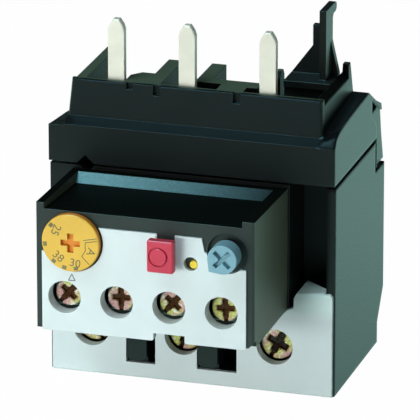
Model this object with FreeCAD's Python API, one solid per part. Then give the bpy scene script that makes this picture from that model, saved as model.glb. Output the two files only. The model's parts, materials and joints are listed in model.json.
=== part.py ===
import FreeCAD, Part
import math
import os

# Three-pole thermal overload relay that hangs under a contactor.
# Units are millimetres. X runs across the poles, Y from front to back, Z up.
# The origin is the middle of the underside. Depths named "depth" or "back" are
# measured from the front face of the upper housing, and turned into Y by at_depth().

# ---- Housing ----
body_width = 60.0
base_depth = 34.0
body_depth = 39.0
undercut_foot = 4.4
undercut_top = 11.5
housing_wall = 1.8
floor_thickness = 2.0
seam_height = 44.4
seam_gap = 0.8
rear_seam_height = 38.0
rear_seam_depth = 31.4
shoulder_height = 53.2
ledge_height = 54.6
ledge_outer_drop = 2.9
side_wall_height = 56.2
side_wall_rear_height = 57.0
side_wall_run = 25.8
side_wall_bend = 5.9
rear_corner_height = 50.4
scoop_half_width = 3.4
scoop_radius = 4.4
scoop_floor = 54.1
side_recess_depth = 0.4
side_recess_front = 28.6
side_recess_top = 54.6
side_nick_depth = 2.0
lower_setback = 1.0
side_pocket_depth = 12.0
latch_recess_depth = 8.0
well_floor_height = 50.0
ceiling_thickness = 1.8

# ---- Narrower block on top, with blade wells, towers, ribs and cheeks ----
block_height = 61.7
block_inset = 3.2
block_setback = 3.9
block_lean = 1.0
block_draft = 0.5
block_corner = 0.8
block_wall = 1.4
left_cheek_wall = 3.2
right_cheek_wall = 1.8
cheek_chamfer = 1.3
cheek_back = 26.0
cheek_rear_rise = 1.6
cheek_rear_length = 2.5
tower_back = 11.7
rib_back = 21.3
rib_width = 3.0
left_rib_x = -9.5
right_rib_x = -0.3
right_rib_front = 9.0
left_tower_width = 4.5
right_tower_width = 10.3
keying_notch_x = (-14.0, -8.3, 8.5)
keying_notch_width = (1.3, 1.45, 1.5)
keying_notch_depth = (1.2, 2.0, 2.05)
front_window_x = -22.2
front_window_side = 2.9
guide_fin_x = 13.0
guide_fin_thickness = 1.0
guide_fin_height = 0.5
guide_fin_front = 17.9
guide_fin_length = 3.3

# ---- Contact blades ----
blade_x = (-17.5, -2.6, 14.3)
blade_width = 3.4
blade_thickness = 1.5
blade_reach = 12.6
blade_depth = 6.0
blade_corner = 1.1
blade_foot_height = 45.5
blade_slot_clearance = 0.3

# ---- Latch hook ----
hook_left = 15.1
hook_base_width = 9.8
hook_base_length = 6.8
hook_base_back = 22.1
hook_rise = 14.6
hook_web_left = 19.6
hook_web_rise = 10.4
hook_shoulder_rise = 6.1
hook_web_thickness = 1.4
mast_left = 21.95
mast_width = 1.4
mast_length = 5.1
hook_nose_radius = 1.0
hook_nose_back = 25.0

# ---- Main terminals ----
terminal_pitch = 19.45
terminal_row_offset = -1.75
terminal_height = 9.85
screw_hole_radius = 3.8
cover_width = 59.4
cover_height = 17.6
cover_thickness = 1.0
cover_guide_length = 1.2
cover_guide_wall = 0.8
cover_lug_left = 21.6
cover_lug_depth = 9.5
cover_lug_height = 21.3
cover_lug_right_rise = 0.8
cover_lug_nose_radius = 2.4
cover_lug_edge_radius = 0.6
window_bottom = 3.3
window_top = 12.0
tongue_width = 4.1
chamber_width = 11.2
chamber_back = 15.2
chamber_roof = 16.2
partition_thickness = 1.6
main_head_radius = 3.5
main_head_front = 2.4
main_head_length = 2.4
main_shank_radius = 2.0
clamp_front = 5.2
clamp_depth = 9.7
clamp_width = 11.0
clamp_height = 9.2
clamp_wall = 1.5
bar_thickness = 1.5
bar_width = 8.0
tongue_front = 7.5
wire_entry_width = 8.6

# ---- Bimetals and heaters ----
bimetal_depth = 22.0
bimetal_width = 5.0
bimetal_thickness = 1.0
bimetal_tip_height = 18.5
heater_radius = 3.3
heater_ribbon_thickness = 0.6
heater_ribbon_width = 2.0
heater_turns = 3
heater_tab_height = 28.0

# ---- Trip slider and lever ----
slider_height = 19.6
slider_thickness = 1.5
slider_travel = 1.2
slider_front = 16.0
slider_back = 26.6
slider_clearance = 0.2
slider_arm_x = -6.4
slider_arm_width = 1.8
lever_x = -2.4
lever_depth = -2.9
lever_arm = 6.0
lever_reach = 8.0
lever_thickness = 1.0
lever_gap = 0.3
lever_bottom = 24.0
pivot_radius = 0.8
pivot_clearance = 0.07

# ---- Control box ----
box_left = -25.2
box_right = 20.0
box_front = -22.8
box_bottom = 17.9
box_top = 43.1
box_top_rear = 41.7
box_rib_height = 1.3
box_left_rib = 1.6
box_right_rib = 2.5
box_bevel = 1.9
box_edge_radius = 0.6
box_corner_cut = 1.2
box_wall = 1.5
box_floor_height = 19.4
inner_wall_depth = -11.8
inner_wall_thickness = 1.2
inner_wall_bottom = 29.4

# ---- Front panel ----
panel_left = -24.0
panel_right = 18.4
panel_bottom = 17.6
panel_top = 40.2
panel_proud = 0.4
panel_thickness = 1.2
panel_step_x = 9.6
panel_step_height = 34.4
panel_notch_left = -0.8
panel_notch_right = 5.7
panel_notch_height = 1.6
panel_collar_wall = 0.6
panel_collar_length = 1.7

# ---- Auxiliary terminals ----
aux_pitch = 10.87
aux_row_offset = -3.0
aux_height = 24.9
aux_hole_radius = 3.4
aux_head_radius = 2.8
aux_head_recess = 2.9
aux_head_length = 2.0
aux_shank_radius = 1.7
aux_clamp_side = 6.6
aux_clamp_thickness = 1.0
aux_bar_front = -16.6
aux_bar_width = 6.0
aux_bar_thickness = 1.0
aux_strip_height = 28.0
aux_strip_thickness = 0.8
contact_top = 32.0
opening_contact_shift = (0.8, -4.0)

# ---- Dial, buttons and trip flag ----
dial_x = -17.6
dial_height = 36.9
dial_radius = 6.0
dial_thickness = 1.4
dial_recess_radius = 2.0
dial_recess_depth = 0.9
spindle_radius = 2.0
cam_radius = 2.3
cam_offset = 0.5
button_x = 1.75
button_stem_x = 1.85
button_height = 36.75
button_cap_width = 5.5
button_cap_height = 6.7
button_cap_thickness = 1.7
button_front = -27.0
button_stem_width = 2.6
button_stem_height = 4.0
button_disc_shift = 0.35
button_disc_radius = 1.75
button_groove_width = 0.3
knob_x = 14.5
knob_height = 37.5
knob_radius = 3.0
knob_pointer_reach = 3.8
knob_front = -26.9
knob_back = -23.3
knob_well_radius = 4.15
knob_well_depth = 1.0
plunger_radius = 1.24
flag_x = 7.5
flag_height = 34.4
flag_radius = 0.85
flag_recess = 0.3
flag_hole_x = 7.0
flag_hole_height = 34.6
flag_hole_radius = 1.45
running_clearance = 0.06
stem_clearance = 0.15
plunger_foot_depth = -16.5
plunger_foot_thickness = 1.0
spring_radius = 1.6
spring_wire_radius = 0.22
spring_turns = 4

# ---- Contact carrier ----
carrier_front = -7.0
carrier_thickness = 1.8
carrier_bottom = 29.0
carrier_height = 3.0
carrier_left = -19.4
carrier_right = 14.0
bridge_thickness = 0.6
closed_contact_gap = 0.1
carrier_travel = 1.5
guide_pin_x = -7.6
guide_pin_radius = 0.9

# ---- Housing screws ----
housing_screw_x = 25.4
housing_screw_depth = 33.6
housing_screw_radius = 1.25
housing_screw_head_radius = 2.4
housing_screw_head_length = 1.6
housing_screw_reach = 12.0
housing_bore_reach = 14.0
housing_boss_radius = 3.0

front = -base_depth / 2.0
half_width = body_width / 2.0
terminal_x = [terminal_row_offset + i * terminal_pitch for i in (-1, 0, 1)]
partition_x = [terminal_row_offset + s * terminal_pitch / 2.0 for s in (-1, 1)]
aux_x = [aux_row_offset + (i - 1.5) * aux_pitch for i in range(4)]
ceiling = well_floor_height - ceiling_thickness
upper_bottom = seam_height + seam_gap
block_half = half_width - block_inset
inside = half_width - housing_wall
back_inside = body_depth - housing_wall
panel_front = box_front - panel_proud
box_inner_front = box_front + box_wall
box_floor_top = box_floor_height + box_wall
box_roof = box_top_rear - box_wall
spring_seat = plunger_foot_depth + plunger_foot_thickness
hook_top = block_height + hook_rise
hook_web_top = block_height + hook_web_rise
hook_shoulder = block_height + hook_shoulder_rise
bar_height = chamber_roof - cover_guide_length - 1.5
tiny = 0.02


def at_depth(depth):
    """Y of a point that lies this far behind the front face."""
    return front + depth


def box(x0, x1, d0, d1, z0, z1):
    """Block between two X, two depths and two heights."""
    return Part.makeBox(x1 - x0, d1 - d0, z1 - z0, FreeCAD.Vector(x0, at_depth(d0), z0))


def face_of(points):
    """Flat face inside a closed polygon."""
    return Part.Face(Part.makePolygon(points + points[:1]))


def side_profile(points, x0, x1):
    """Outline in depth and height, carried across from x0 to x1."""
    outline = [FreeCAD.Vector(x0, at_depth(d), z) for d, z in points]
    return face_of(outline).extrude(FreeCAD.Vector(x1 - x0, 0, 0))


def front_profile(points, d0, d1):
    """Outline in X and height, carried back from d0 to d1."""
    outline = [FreeCAD.Vector(x, at_depth(d0), z) for x, z in points]
    return face_of(outline).extrude(FreeCAD.Vector(0, d1 - d0, 0))


def plan_profile(points, z0, z1):
    """Outline in X and depth, carried up from z0 to z1."""
    outline = [FreeCAD.Vector(x, at_depth(d), z0) for x, d in points]
    return face_of(outline).extrude(FreeCAD.Vector(0, 0, z1 - z0))


def rod(x, z, radius, d0, d1):
    """Round rod that runs from front to back."""
    return Part.makeCylinder(radius, d1 - d0, FreeCAD.Vector(x, at_depth(d0), z),
                             FreeCAD.Vector(0, 1, 0))


def post(x, depth, radius, z0, z1):
    """Round post that stands upright."""
    return Part.makeCylinder(radius, z1 - z0, FreeCAD.Vector(x, at_depth(depth), z0))


def joined(shapes):
    """One solid made of several that touch."""
    return shapes[0].multiFuse(shapes[1:]).removeSplitter()


def rounded(shape, radius, chosen):
    """Shape with the edges that the test picks rounded over."""
    edges = [e for e in shape.Edges if chosen(e)]
    return shape.makeFillet(radius, edges)


def bevelled(shape, size, chosen):
    """Shape with the edges that the test picks cut off at 45 degrees."""
    edges = [e for e in shape.Edges if chosen(e)]
    return shape.makeChamfer(size, edges)


def runs_along(edge, axis):
    """True for a straight edge along X, Y or Z."""
    if not isinstance(edge.Curve, Part.Line):
        return False
    size = edge.BoundBox
    spans = {"x": size.XLength, "y": size.YLength, "z": size.ZLength}
    return spans[axis] > 0.5 and all(v < 0.01 for k, v in spans.items() if k != axis)


def near(value, target):
    """True within a hundredth of a millimetre."""
    return abs(value - target) < 0.01


def coil(radius, section, pitch, turns, base, axis):
    """Wire or ribbon wound on a helix; section holds radial and axial offsets."""
    path = Part.makeHelix(pitch, pitch * turns, radius)
    points = [FreeCAD.Vector(radius + r, 0, z) for r, z in section]
    ring = Part.makePolygon(points + points[:1])
    wire = Part.Wire(path.Edges).makePipeShell([ring], True, True)
    turn = FreeCAD.Rotation(FreeCAD.Vector(0, 0, 1), axis)
    wire.Placement = FreeCAD.Placement(base, turn)
    return wire


# ---------------------------------------------------------------- housings

def lower_outline():
    """Side view of the lower housing, with the rear undercut and the stepped seam."""
    return [(lower_setback, 0), (base_depth, 0), (base_depth, undercut_foot),
            (body_depth, undercut_top), (body_depth, rear_seam_height),
            (rear_seam_depth, rear_seam_height), (rear_seam_depth, seam_height),
            (lower_setback, seam_height)]


def inner_outline():
    """The same view of the hollow inside, one wall further in."""
    slope = (body_depth - base_depth) / (undercut_top - undercut_foot)
    low = undercut_top - (body_depth - base_depth) / slope + housing_wall
    return [(chamber_back + partition_thickness, floor_thickness),
            (base_depth - housing_wall, floor_thickness),
            (base_depth - housing_wall, low),
            (back_inside, undercut_top + housing_wall), (back_inside, block_height),
            (lower_setback + housing_wall, block_height),
            (lower_setback + housing_wall, chamber_roof + 2 * housing_wall),
            (chamber_back + partition_thickness, chamber_roof + 2 * housing_wall)]


def partition_outline():
    """Side view of the wall between two phases; it stands up into the upper housing."""
    return [(lower_setback, floor_thickness), (base_depth - tiny, floor_thickness),
            (base_depth - tiny, undercut_foot), (back_inside, undercut_top),
            (back_inside, rear_seam_height), (rear_seam_depth, rear_seam_height),
            (rear_seam_depth, ceiling), (lower_setback, ceiling)]


def terminal_chamber(x):
    """Hollow for one box clamp, open to the front, with the wire entry below."""
    half = chamber_width / 2.0
    room = box(x - half, x + half, lower_setback - 1, chamber_back, floor_thickness, chamber_roof)
    bar_way = box(x - half, x + half, chamber_back - 1, chamber_back + 2 * partition_thickness,
                  bar_height, chamber_roof)
    entry_half = wire_entry_width / 2.0
    entry = box(x - entry_half, x + entry_half, tongue_front, clamp_front + clamp_depth - clamp_wall,
                -1, floor_thickness + 1)
    return [room, bar_way, entry]


def side_pocket():
    """Deep pocket beside the control box, open to the front."""
    left = box_right + 0.4
    return box(left, half_width - housing_wall, -1, side_pocket_depth, chamber_roof + housing_wall,
               block_height)


def pocket_walls():
    """Walls that part the side pocket from the inside."""
    left = box_right + 0.4
    outside = box(left - housing_wall, half_width - housing_wall, lower_setback,
                  side_pocket_depth + housing_wall, chamber_roof + housing_wall, seam_height)
    return outside.cut(side_pocket())


def lower_housing():
    """Black tub with three phase chambers, terminal chambers and the side pocket."""
    shell = side_profile(lower_outline(), -half_width, half_width)
    shell = shell.cut(side_profile(inner_outline(), -inside, inside))
    walls = [pocket_walls()]
    for x in partition_x:
        walls.append(side_profile(partition_outline(), x - partition_thickness / 2.0,
                                  x + partition_thickness / 2.0))
    for side in (-1, 1):
        walls.append(post(side * housing_screw_x, housing_screw_depth, housing_boss_radius,
                          undercut_top, rear_seam_height + seam_gap / 2.0))
    shell = joined([shell] + walls)
    for x in terminal_x:
        for hollow in terminal_chamber(x):
            shell = shell.cut(hollow)
    top_room = box(-half_width - 1, half_width + 1, lower_setback - 1,
                   lower_setback + housing_wall + 1.5, seam_height, block_height)
    shell = shell.cut(top_room).cut(side_pocket())
    slider_way = box(-half_width + housing_wall, inside, slider_front - 0.6, slider_back + 0.6,
                     slider_height - slider_clearance, slider_height + slider_thickness
                     + slider_clearance)
    arm_way = box(slider_arm_x - slider_arm_width, slider_arm_x + slider_arm_width + slider_travel,
                  lower_setback - 1, slider_back + 0.6, slider_height - slider_clearance,
                  slider_height + 2 * slider_thickness + slider_clearance)
    shell = shell.cut(slider_way).cut(arm_way)
    for side in (-1, 1):
        shell = shell.cut(post(side * housing_screw_x, housing_screw_depth, housing_screw_radius,
                               rear_seam_height - housing_bore_reach, rear_seam_height + 1))
    for left, right in cover_windows():
        shell = shell.cut(box(left + tongue_width + 0.3, right, lower_setback - 1,
                              latch_recess_depth,
                              window_bottom, window_top))
    tongues = [front_profile(latch_tongue(left + 0.3), -0.3, lower_setback)
               for left, right in cover_windows()]
    shell = joined([shell] + tongues).cut(front_window())
    return rounded(shell, 0.5, lambda e: runs_along(e, "z") and near(abs(e.CenterOfMass.x), half_width)
                   and near(e.CenterOfMass.y, at_depth(body_depth)))


def latch_tongue(left):
    """Front view of a snap tongue with a chamfered foot."""
    low = window_bottom + 0.7
    right = left + tongue_width
    return [(left, low + 0.7), (left + 0.7, low), (right - 0.7, low), (right, low + 0.7),
            (right, window_top - 0.4), (left, window_top - 0.4)]


def skirt_rear():
    """Rear and stepped lower edge that every side view of the upper housing shares."""
    return [(body_depth - 2.8, well_floor_height), (body_depth - 1.8, upper_bottom),
            (body_depth, rear_seam_height + seam_gap),
            (rear_seam_depth + seam_gap, rear_seam_height + seam_gap),
            (rear_seam_depth + seam_gap, upper_bottom), (0, upper_bottom)]


def shoulder_profile():
    """Side view of the skirt and of the shoulder that carries the block."""
    return [(0, shoulder_height), (block_setback, ledge_height), (tower_back, ledge_height),
            (tower_back, well_floor_height)] + skirt_rear()


def left_ledge_profile():
    """Side view of the left ledge, whose top falls away to the rear."""
    low = ledge_height - ledge_outer_drop
    return [(0, shoulder_height - 0.3), (block_setback, (shoulder_height + low) / 2.0),
            (tower_back, low), (body_depth * 0.6, well_floor_height)] + skirt_rear()


def right_side_profile():
    """Side view of the raised right wall, with its bent crest and cut rear corner."""
    return [(0, shoulder_height), (1.2, shoulder_height + 1.7), (4.5, side_wall_height),
            (side_wall_run, side_wall_rear_height),
            (side_wall_run + side_wall_bend, side_wall_rear_height - side_wall_bend * 0.6),
            (body_depth - 3.2, rear_corner_height + 1.2),
            (body_depth - 2.8, rear_corner_height)] + skirt_rear()[1:]


def right_shoulder():
    """Raised right side; a trough between its crest and the block runs out to the rear."""
    side = side_profile(right_side_profile(), block_half, half_width)
    side = rounded(side, 0.4, lambda e: runs_along(e, "x") and near(e.CenterOfMass.z, side_wall_height)
                   or runs_along(e, "x") and near(e.CenterOfMass.z, side_wall_rear_height))
    root = side_profile(right_side_profile(), block_half - right_cheek_wall / 2.0, block_half)
    root = root.common(box(0, block_half, block_setback + block_wall / 2.0, cheek_back,
                           well_floor_height, block_height))
    x = half_width - scoop_half_width
    start = FreeCAD.Vector(x, at_depth(0), scoop_floor + scoop_radius)
    run = FreeCAD.Vector(x, at_depth(side_wall_run), side_wall_rear_height + scoop_radius) - start
    trough = Part.makeCylinder(scoop_radius, 1.3 * run.Length, start - run * 0.15, run)
    return joined([side, root]).cut(trough)


def cheek_profile():
    """Side view of the right cheek, with the short step up at its rear."""
    rise = block_height + cheek_rear_rise
    step = cheek_back - cheek_rear_length
    return [(block_setback, well_floor_height), (block_setback, block_height),
            (step, block_height), (step + 0.4, rise), (cheek_back - 0.6, rise),
            (cheek_back, rise - 6.3), (cheek_back, well_floor_height)]


def right_cheek():
    """Right cheek, with its outer top edge cut back up to the step."""
    outer = block_half - block_draft
    cheek = side_profile(cheek_profile(), block_half - right_cheek_wall, block_half)
    return cheek.cut(front_profile([(outer - cheek_chamfer, block_height + tiny),
                                    (outer + cheek_chamfer, block_height + tiny),
                                    (outer + cheek_chamfer, block_height - 2 * cheek_chamfer)],
                                   block_setback, cheek_back - cheek_rear_length))


def front_wall():
    """Front wall of the block: it leans back and its top edge is rounded."""
    foot = block_setback - block_lean
    wall = side_profile([(foot, well_floor_height), (foot, ledge_height), (block_setback, block_height),
                         (block_setback + block_wall, block_height),
                         (block_setback + block_wall, well_floor_height)], -block_half, block_half)
    return rounded(wall, 0.45, lambda e: runs_along(e, "x") and near(e.CenterOfMass.z, block_height)
                   and near(e.CenterOfMass.y, at_depth(block_setback)))


def left_cheek():
    """Left cheek, with its outer top edge cut back."""
    outer = -block_half + block_draft
    return front_profile([(-block_half, well_floor_height), (-block_half, ledge_height),
                          (outer, block_height - 1.0), (outer + 0.7, block_height),
                          (-block_half + left_cheek_wall, block_height),
                          (-block_half + left_cheek_wall, well_floor_height)],
                         block_setback, cheek_back)


def block_form():
    """Drafted room that the block stays inside, with rounded front corners."""
    rings = []
    for z in (ledge_height - 1, block_height + cheek_rear_rise + guide_fin_height + 1):
        share = (z - ledge_height) / (block_height - ledge_height)
        side = block_half - block_draft * share
        setback = block_setback - block_lean * (1 - share)
        corners = [(-side, setback), (side, setback), (side, body_depth), (-side, body_depth)]
        points = [FreeCAD.Vector(x, at_depth(d), z) for x, d in corners]
        rings.append(Part.makePolygon(points + points[:1]))
    room = Part.makeLoft(rings, True, True)
    return rounded(room, block_corner, lambda e: e.CenterOfMass.y < at_depth(block_setback + 1)
                   and e.BoundBox.ZLength > 2.0)


def block_pieces():
    """Front wall, cheeks, towers, ribs and fin that stand on the well floor."""
    half = rib_width / 2.0
    left_rib = box(left_rib_x - half, left_rib_x + half, block_setback, rib_back,
                   well_floor_height - 1, block_height)
    left = left_rib_x - half - left_tower_width
    left_tower = plan_profile([(left, block_setback), (left_rib_x, block_setback),
                               (left_rib_x, tower_back), (left + 1.8, tower_back),
                               (left, tower_back - 2.2)], well_floor_height - 1, block_height)
    right_rib = box(right_rib_x - half, right_rib_x + half, right_rib_front, rib_back,
                    well_floor_height - 1, block_height)
    edge = right_rib_x + half
    right_tower = plan_profile([(edge - tiny, right_rib_front), (edge + 2.6, right_rib_front),
                                (edge + 2.6, block_setback), (edge + right_tower_width - 2.1,
                                                              block_setback),
                                (edge + right_tower_width - 2.1, 8.2),
                                (edge + right_tower_width, 8.2),
                                (edge + right_tower_width, tower_back),
                                (edge - tiny, tower_back)], well_floor_height - 1, block_height)
    fin_top = block_height + guide_fin_height
    fin_back = guide_fin_front + guide_fin_length
    fin = side_profile([(guide_fin_front, well_floor_height - 1), (guide_fin_front, fin_top - 1.2),
                        (guide_fin_front + 0.9, fin_top), (fin_back - 0.8, fin_top),
                        (fin_back, fin_top - 1.2), (fin_back, well_floor_height - 1)],
                       guide_fin_x - guide_fin_thickness / 2.0,
                       guide_fin_x + guide_fin_thickness / 2.0)
    return [front_wall(), left_cheek(), right_cheek(), left_rib, left_tower, right_rib, right_tower,
            fin]


def upper_hollow():
    """Room inside the upper housing above the seam."""
    under_ledge = box(-inside, inside, housing_wall, block_setback + 0.2, rear_seam_height,
                      shoulder_height - housing_wall)
    main_room = box(-inside, inside, housing_wall, rear_seam_depth + seam_gap, rear_seam_height,
                    ceiling)
    rear_room = box(-inside, inside, rear_seam_depth, back_inside - 1.8, rear_seam_height, ceiling)
    return [under_ledge, main_room, rear_room]


def upper_housing():
    """Black cap with shoulder, block, blade slots, side scoop and notched front wall."""
    middle = side_profile(shoulder_profile(), -block_half, block_half)
    left_ledge = side_profile(left_ledge_profile(), -half_width, -block_half)
    wells = box(-block_half + left_cheek_wall, block_half - right_cheek_wall,
                block_setback + block_wall, tower_back + 1, well_floor_height, block_height)
    middle = middle.cut(wells)
    block = joined(block_pieces() + [middle]).common(block_form().fuse(
        box(-half_width, half_width, -1, body_depth + 1, rear_seam_height, ledge_height)))
    cap = joined([block, left_ledge, right_shoulder()])
    for hollow in upper_hollow():
        cap = cap.cut(hollow)
    bosses = [post(side * housing_screw_x, housing_screw_depth, housing_boss_radius,
                   rear_seam_height + seam_gap / 2.0, well_floor_height) for side in (-1, 1)]
    cap = joined([cap] + bosses)
    for side in (-1, 1):
        x = side * housing_screw_x
        cap = cap.cut(post(x, housing_screw_depth, housing_screw_radius + 0.15,
                           rear_seam_height, well_floor_height + 1))
        cap = cap.cut(post(x, housing_screw_depth, housing_screw_head_radius + 0.2,
                           well_floor_height - housing_screw_head_length, well_floor_height + 1))
    for x in blade_x:
        half = blade_width / 2.0 + blade_slot_clearance
        cap = cap.cut(box(x - half, x + half, blade_depth - blade_slot_clearance,
                          blade_depth + blade_thickness + blade_slot_clearance,
                          ceiling - 1, well_floor_height + 1))
    for x, width, depth in zip(keying_notch_x, keying_notch_width, keying_notch_depth):
        cap = cap.cut(box(x - width / 2.0, x + width / 2.0, 0, block_setback + block_wall / 2.0,
                          block_height - depth, block_height + 1))
    return cap.cut(front_window()).cut(side_recess())


def side_recess():
    """Shallow step down of the rear of the right side, with a deep nick in its front corner."""
    foot = rear_seam_depth + 1.3
    top = side_recess_top
    step = side_profile([(side_recess_front, top), (side_recess_front, top - 3.6),
                         (foot - 0.4, well_floor_height - 2.0), (foot, rear_seam_height),
                         (body_depth + 1, rear_seam_height), (body_depth + 1, rear_corner_height - 1.0),
                         (body_depth - 3.2, rear_corner_height - 0.2),
                         (side_recess_front + 5.4, top - 3.3)],
                        half_width - side_recess_depth, half_width + 1)
    nick = side_profile([(side_recess_front + 0.1, top - 0.1), (side_recess_front + 0.1, top - 3.3),
                         (side_recess_front + 5.0, top - 3.1)],
                        half_width - side_nick_depth, half_width + 1)
    return step.fuse(nick)


def front_window():
    """Square snap window stood on its corner in the front face."""
    reach = front_window_side / math.sqrt(2.0)
    z = seam_height + 0.5
    points = [(front_window_x - reach, z), (front_window_x, z - reach),
              (front_window_x + reach, z), (front_window_x, z + reach)]
    return front_profile(points, -1, lower_setback + housing_wall + 0.2)


def housing_screws():
    """Two screws that draw the upper housing on to the lower one."""
    screws = []
    for side in (-1, 1):
        x = side * housing_screw_x
        d = housing_screw_depth
        shank = post(x, d, housing_screw_radius - 0.05, rear_seam_height - housing_screw_reach,
                     well_floor_height - 0.8)
        head = post(x, d, housing_screw_head_radius, well_floor_height - housing_screw_head_length,
                    well_floor_height)
        screws.append(joined([shank, head]))
    return Part.makeCompound(screws)


# ---------------------------------------------------------------- latch hook

def hook_web(back):
    """Front view of the gusset plate behind the mast."""
    right = hook_left + hook_base_width
    mast_right = mast_left + mast_width
    return front_profile([(hook_left, block_height - tiny), (hook_web_left, hook_shoulder),
                          (hook_web_left, hook_web_top), (mast_right, hook_web_top),
                          (mast_right, hook_shoulder + 1.2), (right, block_height + 0.4),
                          (right, block_height - tiny)], back - hook_web_thickness, back)


def latch_hook():
    """Gusseted mast on a foot; its head reaches back in a rounded nose that holds the contactor."""
    x1 = hook_left + hook_base_width
    back = hook_base_back
    base_front = back - hook_base_length
    base = box(hook_left, x1, base_front, back, well_floor_height, block_height)
    lip = box(hook_left, x1, base_front - 0.5, base_front, block_height - 1.4, block_height)
    mast_front = back - mast_length
    low = hook_top - 2 * hook_nose_radius
    end = hook_nose_back - hook_nose_radius
    mast = side_profile([(mast_front, block_height - tiny), (mast_front, hook_top),
                         (end, hook_top), (end, low), (back + 0.6, low), (back, low - 0.8),
                         (back, block_height - tiny)], mast_left, mast_left + mast_width)
    nose = Part.makeCylinder(hook_nose_radius, mast_width,
                             FreeCAD.Vector(mast_left, at_depth(end), hook_top - hook_nose_radius),
                             FreeCAD.Vector(1, 0, 0))
    return joined([base, lip, hook_web(back), mast, nose])


# ---------------------------------------------------------------- main circuit

def contact_blade(i):
    """Tinned blade: tab above the block, foot inside that carries bimetal and heater."""
    x = blade_x[i]
    half = blade_width / 2.0
    top = block_height + blade_reach
    flat = half - blade_corner
    tab = front_profile([(x - half, blade_foot_height), (x + half, blade_foot_height),
                         (x + half, top - 1.9 * blade_corner), (x + half - 0.35, top - blade_corner),
                         (x + flat, top), (x - flat, top), (x - half + 0.35, top - blade_corner),
                         (x - half, top - 1.9 * blade_corner)],
                        blade_depth, blade_depth + blade_thickness)
    tab = rounded(tab, 0.3, lambda e: e.CenterOfMass.z > top - 2.2 * blade_corner
                  and not runs_along(e, "y") and near(e.CenterOfMass.y, at_depth(blade_depth)))
    foot_top = blade_foot_height + blade_thickness
    run = box(x - half, x + half, blade_depth, bimetal_depth, blade_foot_height, foot_top)
    reach = heater_radius + heater_ribbon_thickness / 2.0
    low = min(x - half, terminal_x[i] - reach)
    high = max(x + half, terminal_x[i] + reach)
    plate = box(low, high, bimetal_depth - bimetal_width / 2.0 - 0.5,
                bimetal_depth + bimetal_width / 2.0 + 0.5, blade_foot_height, foot_top)
    return joined([tab, run, plate])


def bimetal_strip(x):
    """Upright strip that bends sideways when hot; its foot end hangs free in the slider."""
    half = bimetal_thickness / 2.0
    reach = bimetal_width / 2.0
    return box(x - half, x + half, bimetal_depth - reach, bimetal_depth + reach,
               bimetal_tip_height, blade_foot_height)


def heater_winding(x):
    """Heater ribbon wound round the bimetal, between the blade foot and the terminal bar."""
    wide = heater_ribbon_width / 2.0
    thick = heater_ribbon_thickness / 2.0
    low = heater_tab_height + wide + 0.05
    room = blade_foot_height - wide - 0.05 - low
    base = FreeCAD.Vector(x, at_depth(bimetal_depth), low)
    section = [(-thick, -wide), (thick, -wide), (thick, wide), (-thick, wide)]
    return coil(heater_radius, section, room / heater_turns, heater_turns, base,
                FreeCAD.Vector(0, 0, 1))


def terminal_bar(x):
    """Bent bar from the clamp's tongue, back and up to the heater."""
    half = bar_width / 2.0
    top = bar_height + bar_thickness
    leg = bimetal_depth + 6.0
    outline = [(tongue_front, floor_thickness + 2), (tongue_front + bar_thickness,
                                                     floor_thickness + 2),
               (tongue_front + bar_thickness, bar_height), (leg, bar_height),
               (leg + bar_thickness, bar_height), (leg + bar_thickness, heater_tab_height),
               (leg, heater_tab_height), (leg, top), (tongue_front, top)]
    strip = side_profile(outline, x - half, x + half)
    tab = box(x + bimetal_thickness / 2.0 + 0.7, x + half, bimetal_depth - 1.5, leg + tiny,
              heater_tab_height - bar_thickness, heater_tab_height)
    return joined([strip, tab])


def terminal_clamp(x):
    """Box clamp: a cage round the tongue, tapped for the screw, open above and below."""
    half = clamp_width / 2.0
    low = floor_thickness + 0.3
    high = low + clamp_height
    cage = box(x - half, x + half, clamp_front, clamp_front + clamp_depth, low, high)
    way = box(x - half + clamp_wall, x + half - clamp_wall, clamp_front + clamp_wall,
              clamp_front + clamp_depth - clamp_wall, low - 1, high + 1)
    thread = rod(x, terminal_height, main_shank_radius + 0.05, clamp_front - 1,
                 clamp_front + clamp_wall + 1)
    cage = rounded(cage, 0.8, lambda e: runs_along(e, "z"))
    return cage.cut(way).cut(thread)


def cross_recess(x, z, radius, face, depth, arm):
    """Cross slot of a combination screw head."""
    upright = box(x - arm / 2.0, x + arm / 2.0, face - 1, face + depth, z - radius, z + radius)
    level = box(x - radius, x + radius, face - 1, face + depth, z - arm / 2.0, z + arm / 2.0)
    return upright.fuse(level)


def cheese_head_screw(x, z, head_radius, head_front, head_length, shank_radius, tip):
    """Clamp screw with a low head and a cross recess, seen from the front."""
    head = rod(x, z, head_radius, head_front, head_front + head_length)
    head = bevelled(head, 0.35, lambda e: near(e.CenterOfMass.y, at_depth(head_front)))
    head = head.cut(cross_recess(x, z, head_radius * 0.72, head_front, head_length * 0.6,
                                 head_radius * 0.28))
    shank = rod(x, z, shank_radius, head_front + head_length - tiny, tip)
    return joined([head, shank])


def main_screws():
    """Three screws of the main terminals."""
    return Part.makeCompound([cheese_head_screw(x, terminal_height, main_head_radius,
                                                main_head_front, main_head_length,
                                                main_shank_radius, tongue_front)
                              for x in terminal_x])


# ---------------------------------------------------------------- terminal cover

def cover_windows():
    """Left, right edge of the two latch windows."""
    return [(partition_x[0] - 2.3, partition_x[0] + 3.9), (partition_x[1] - 6.7, partition_x[1] + 1.7)]


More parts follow.
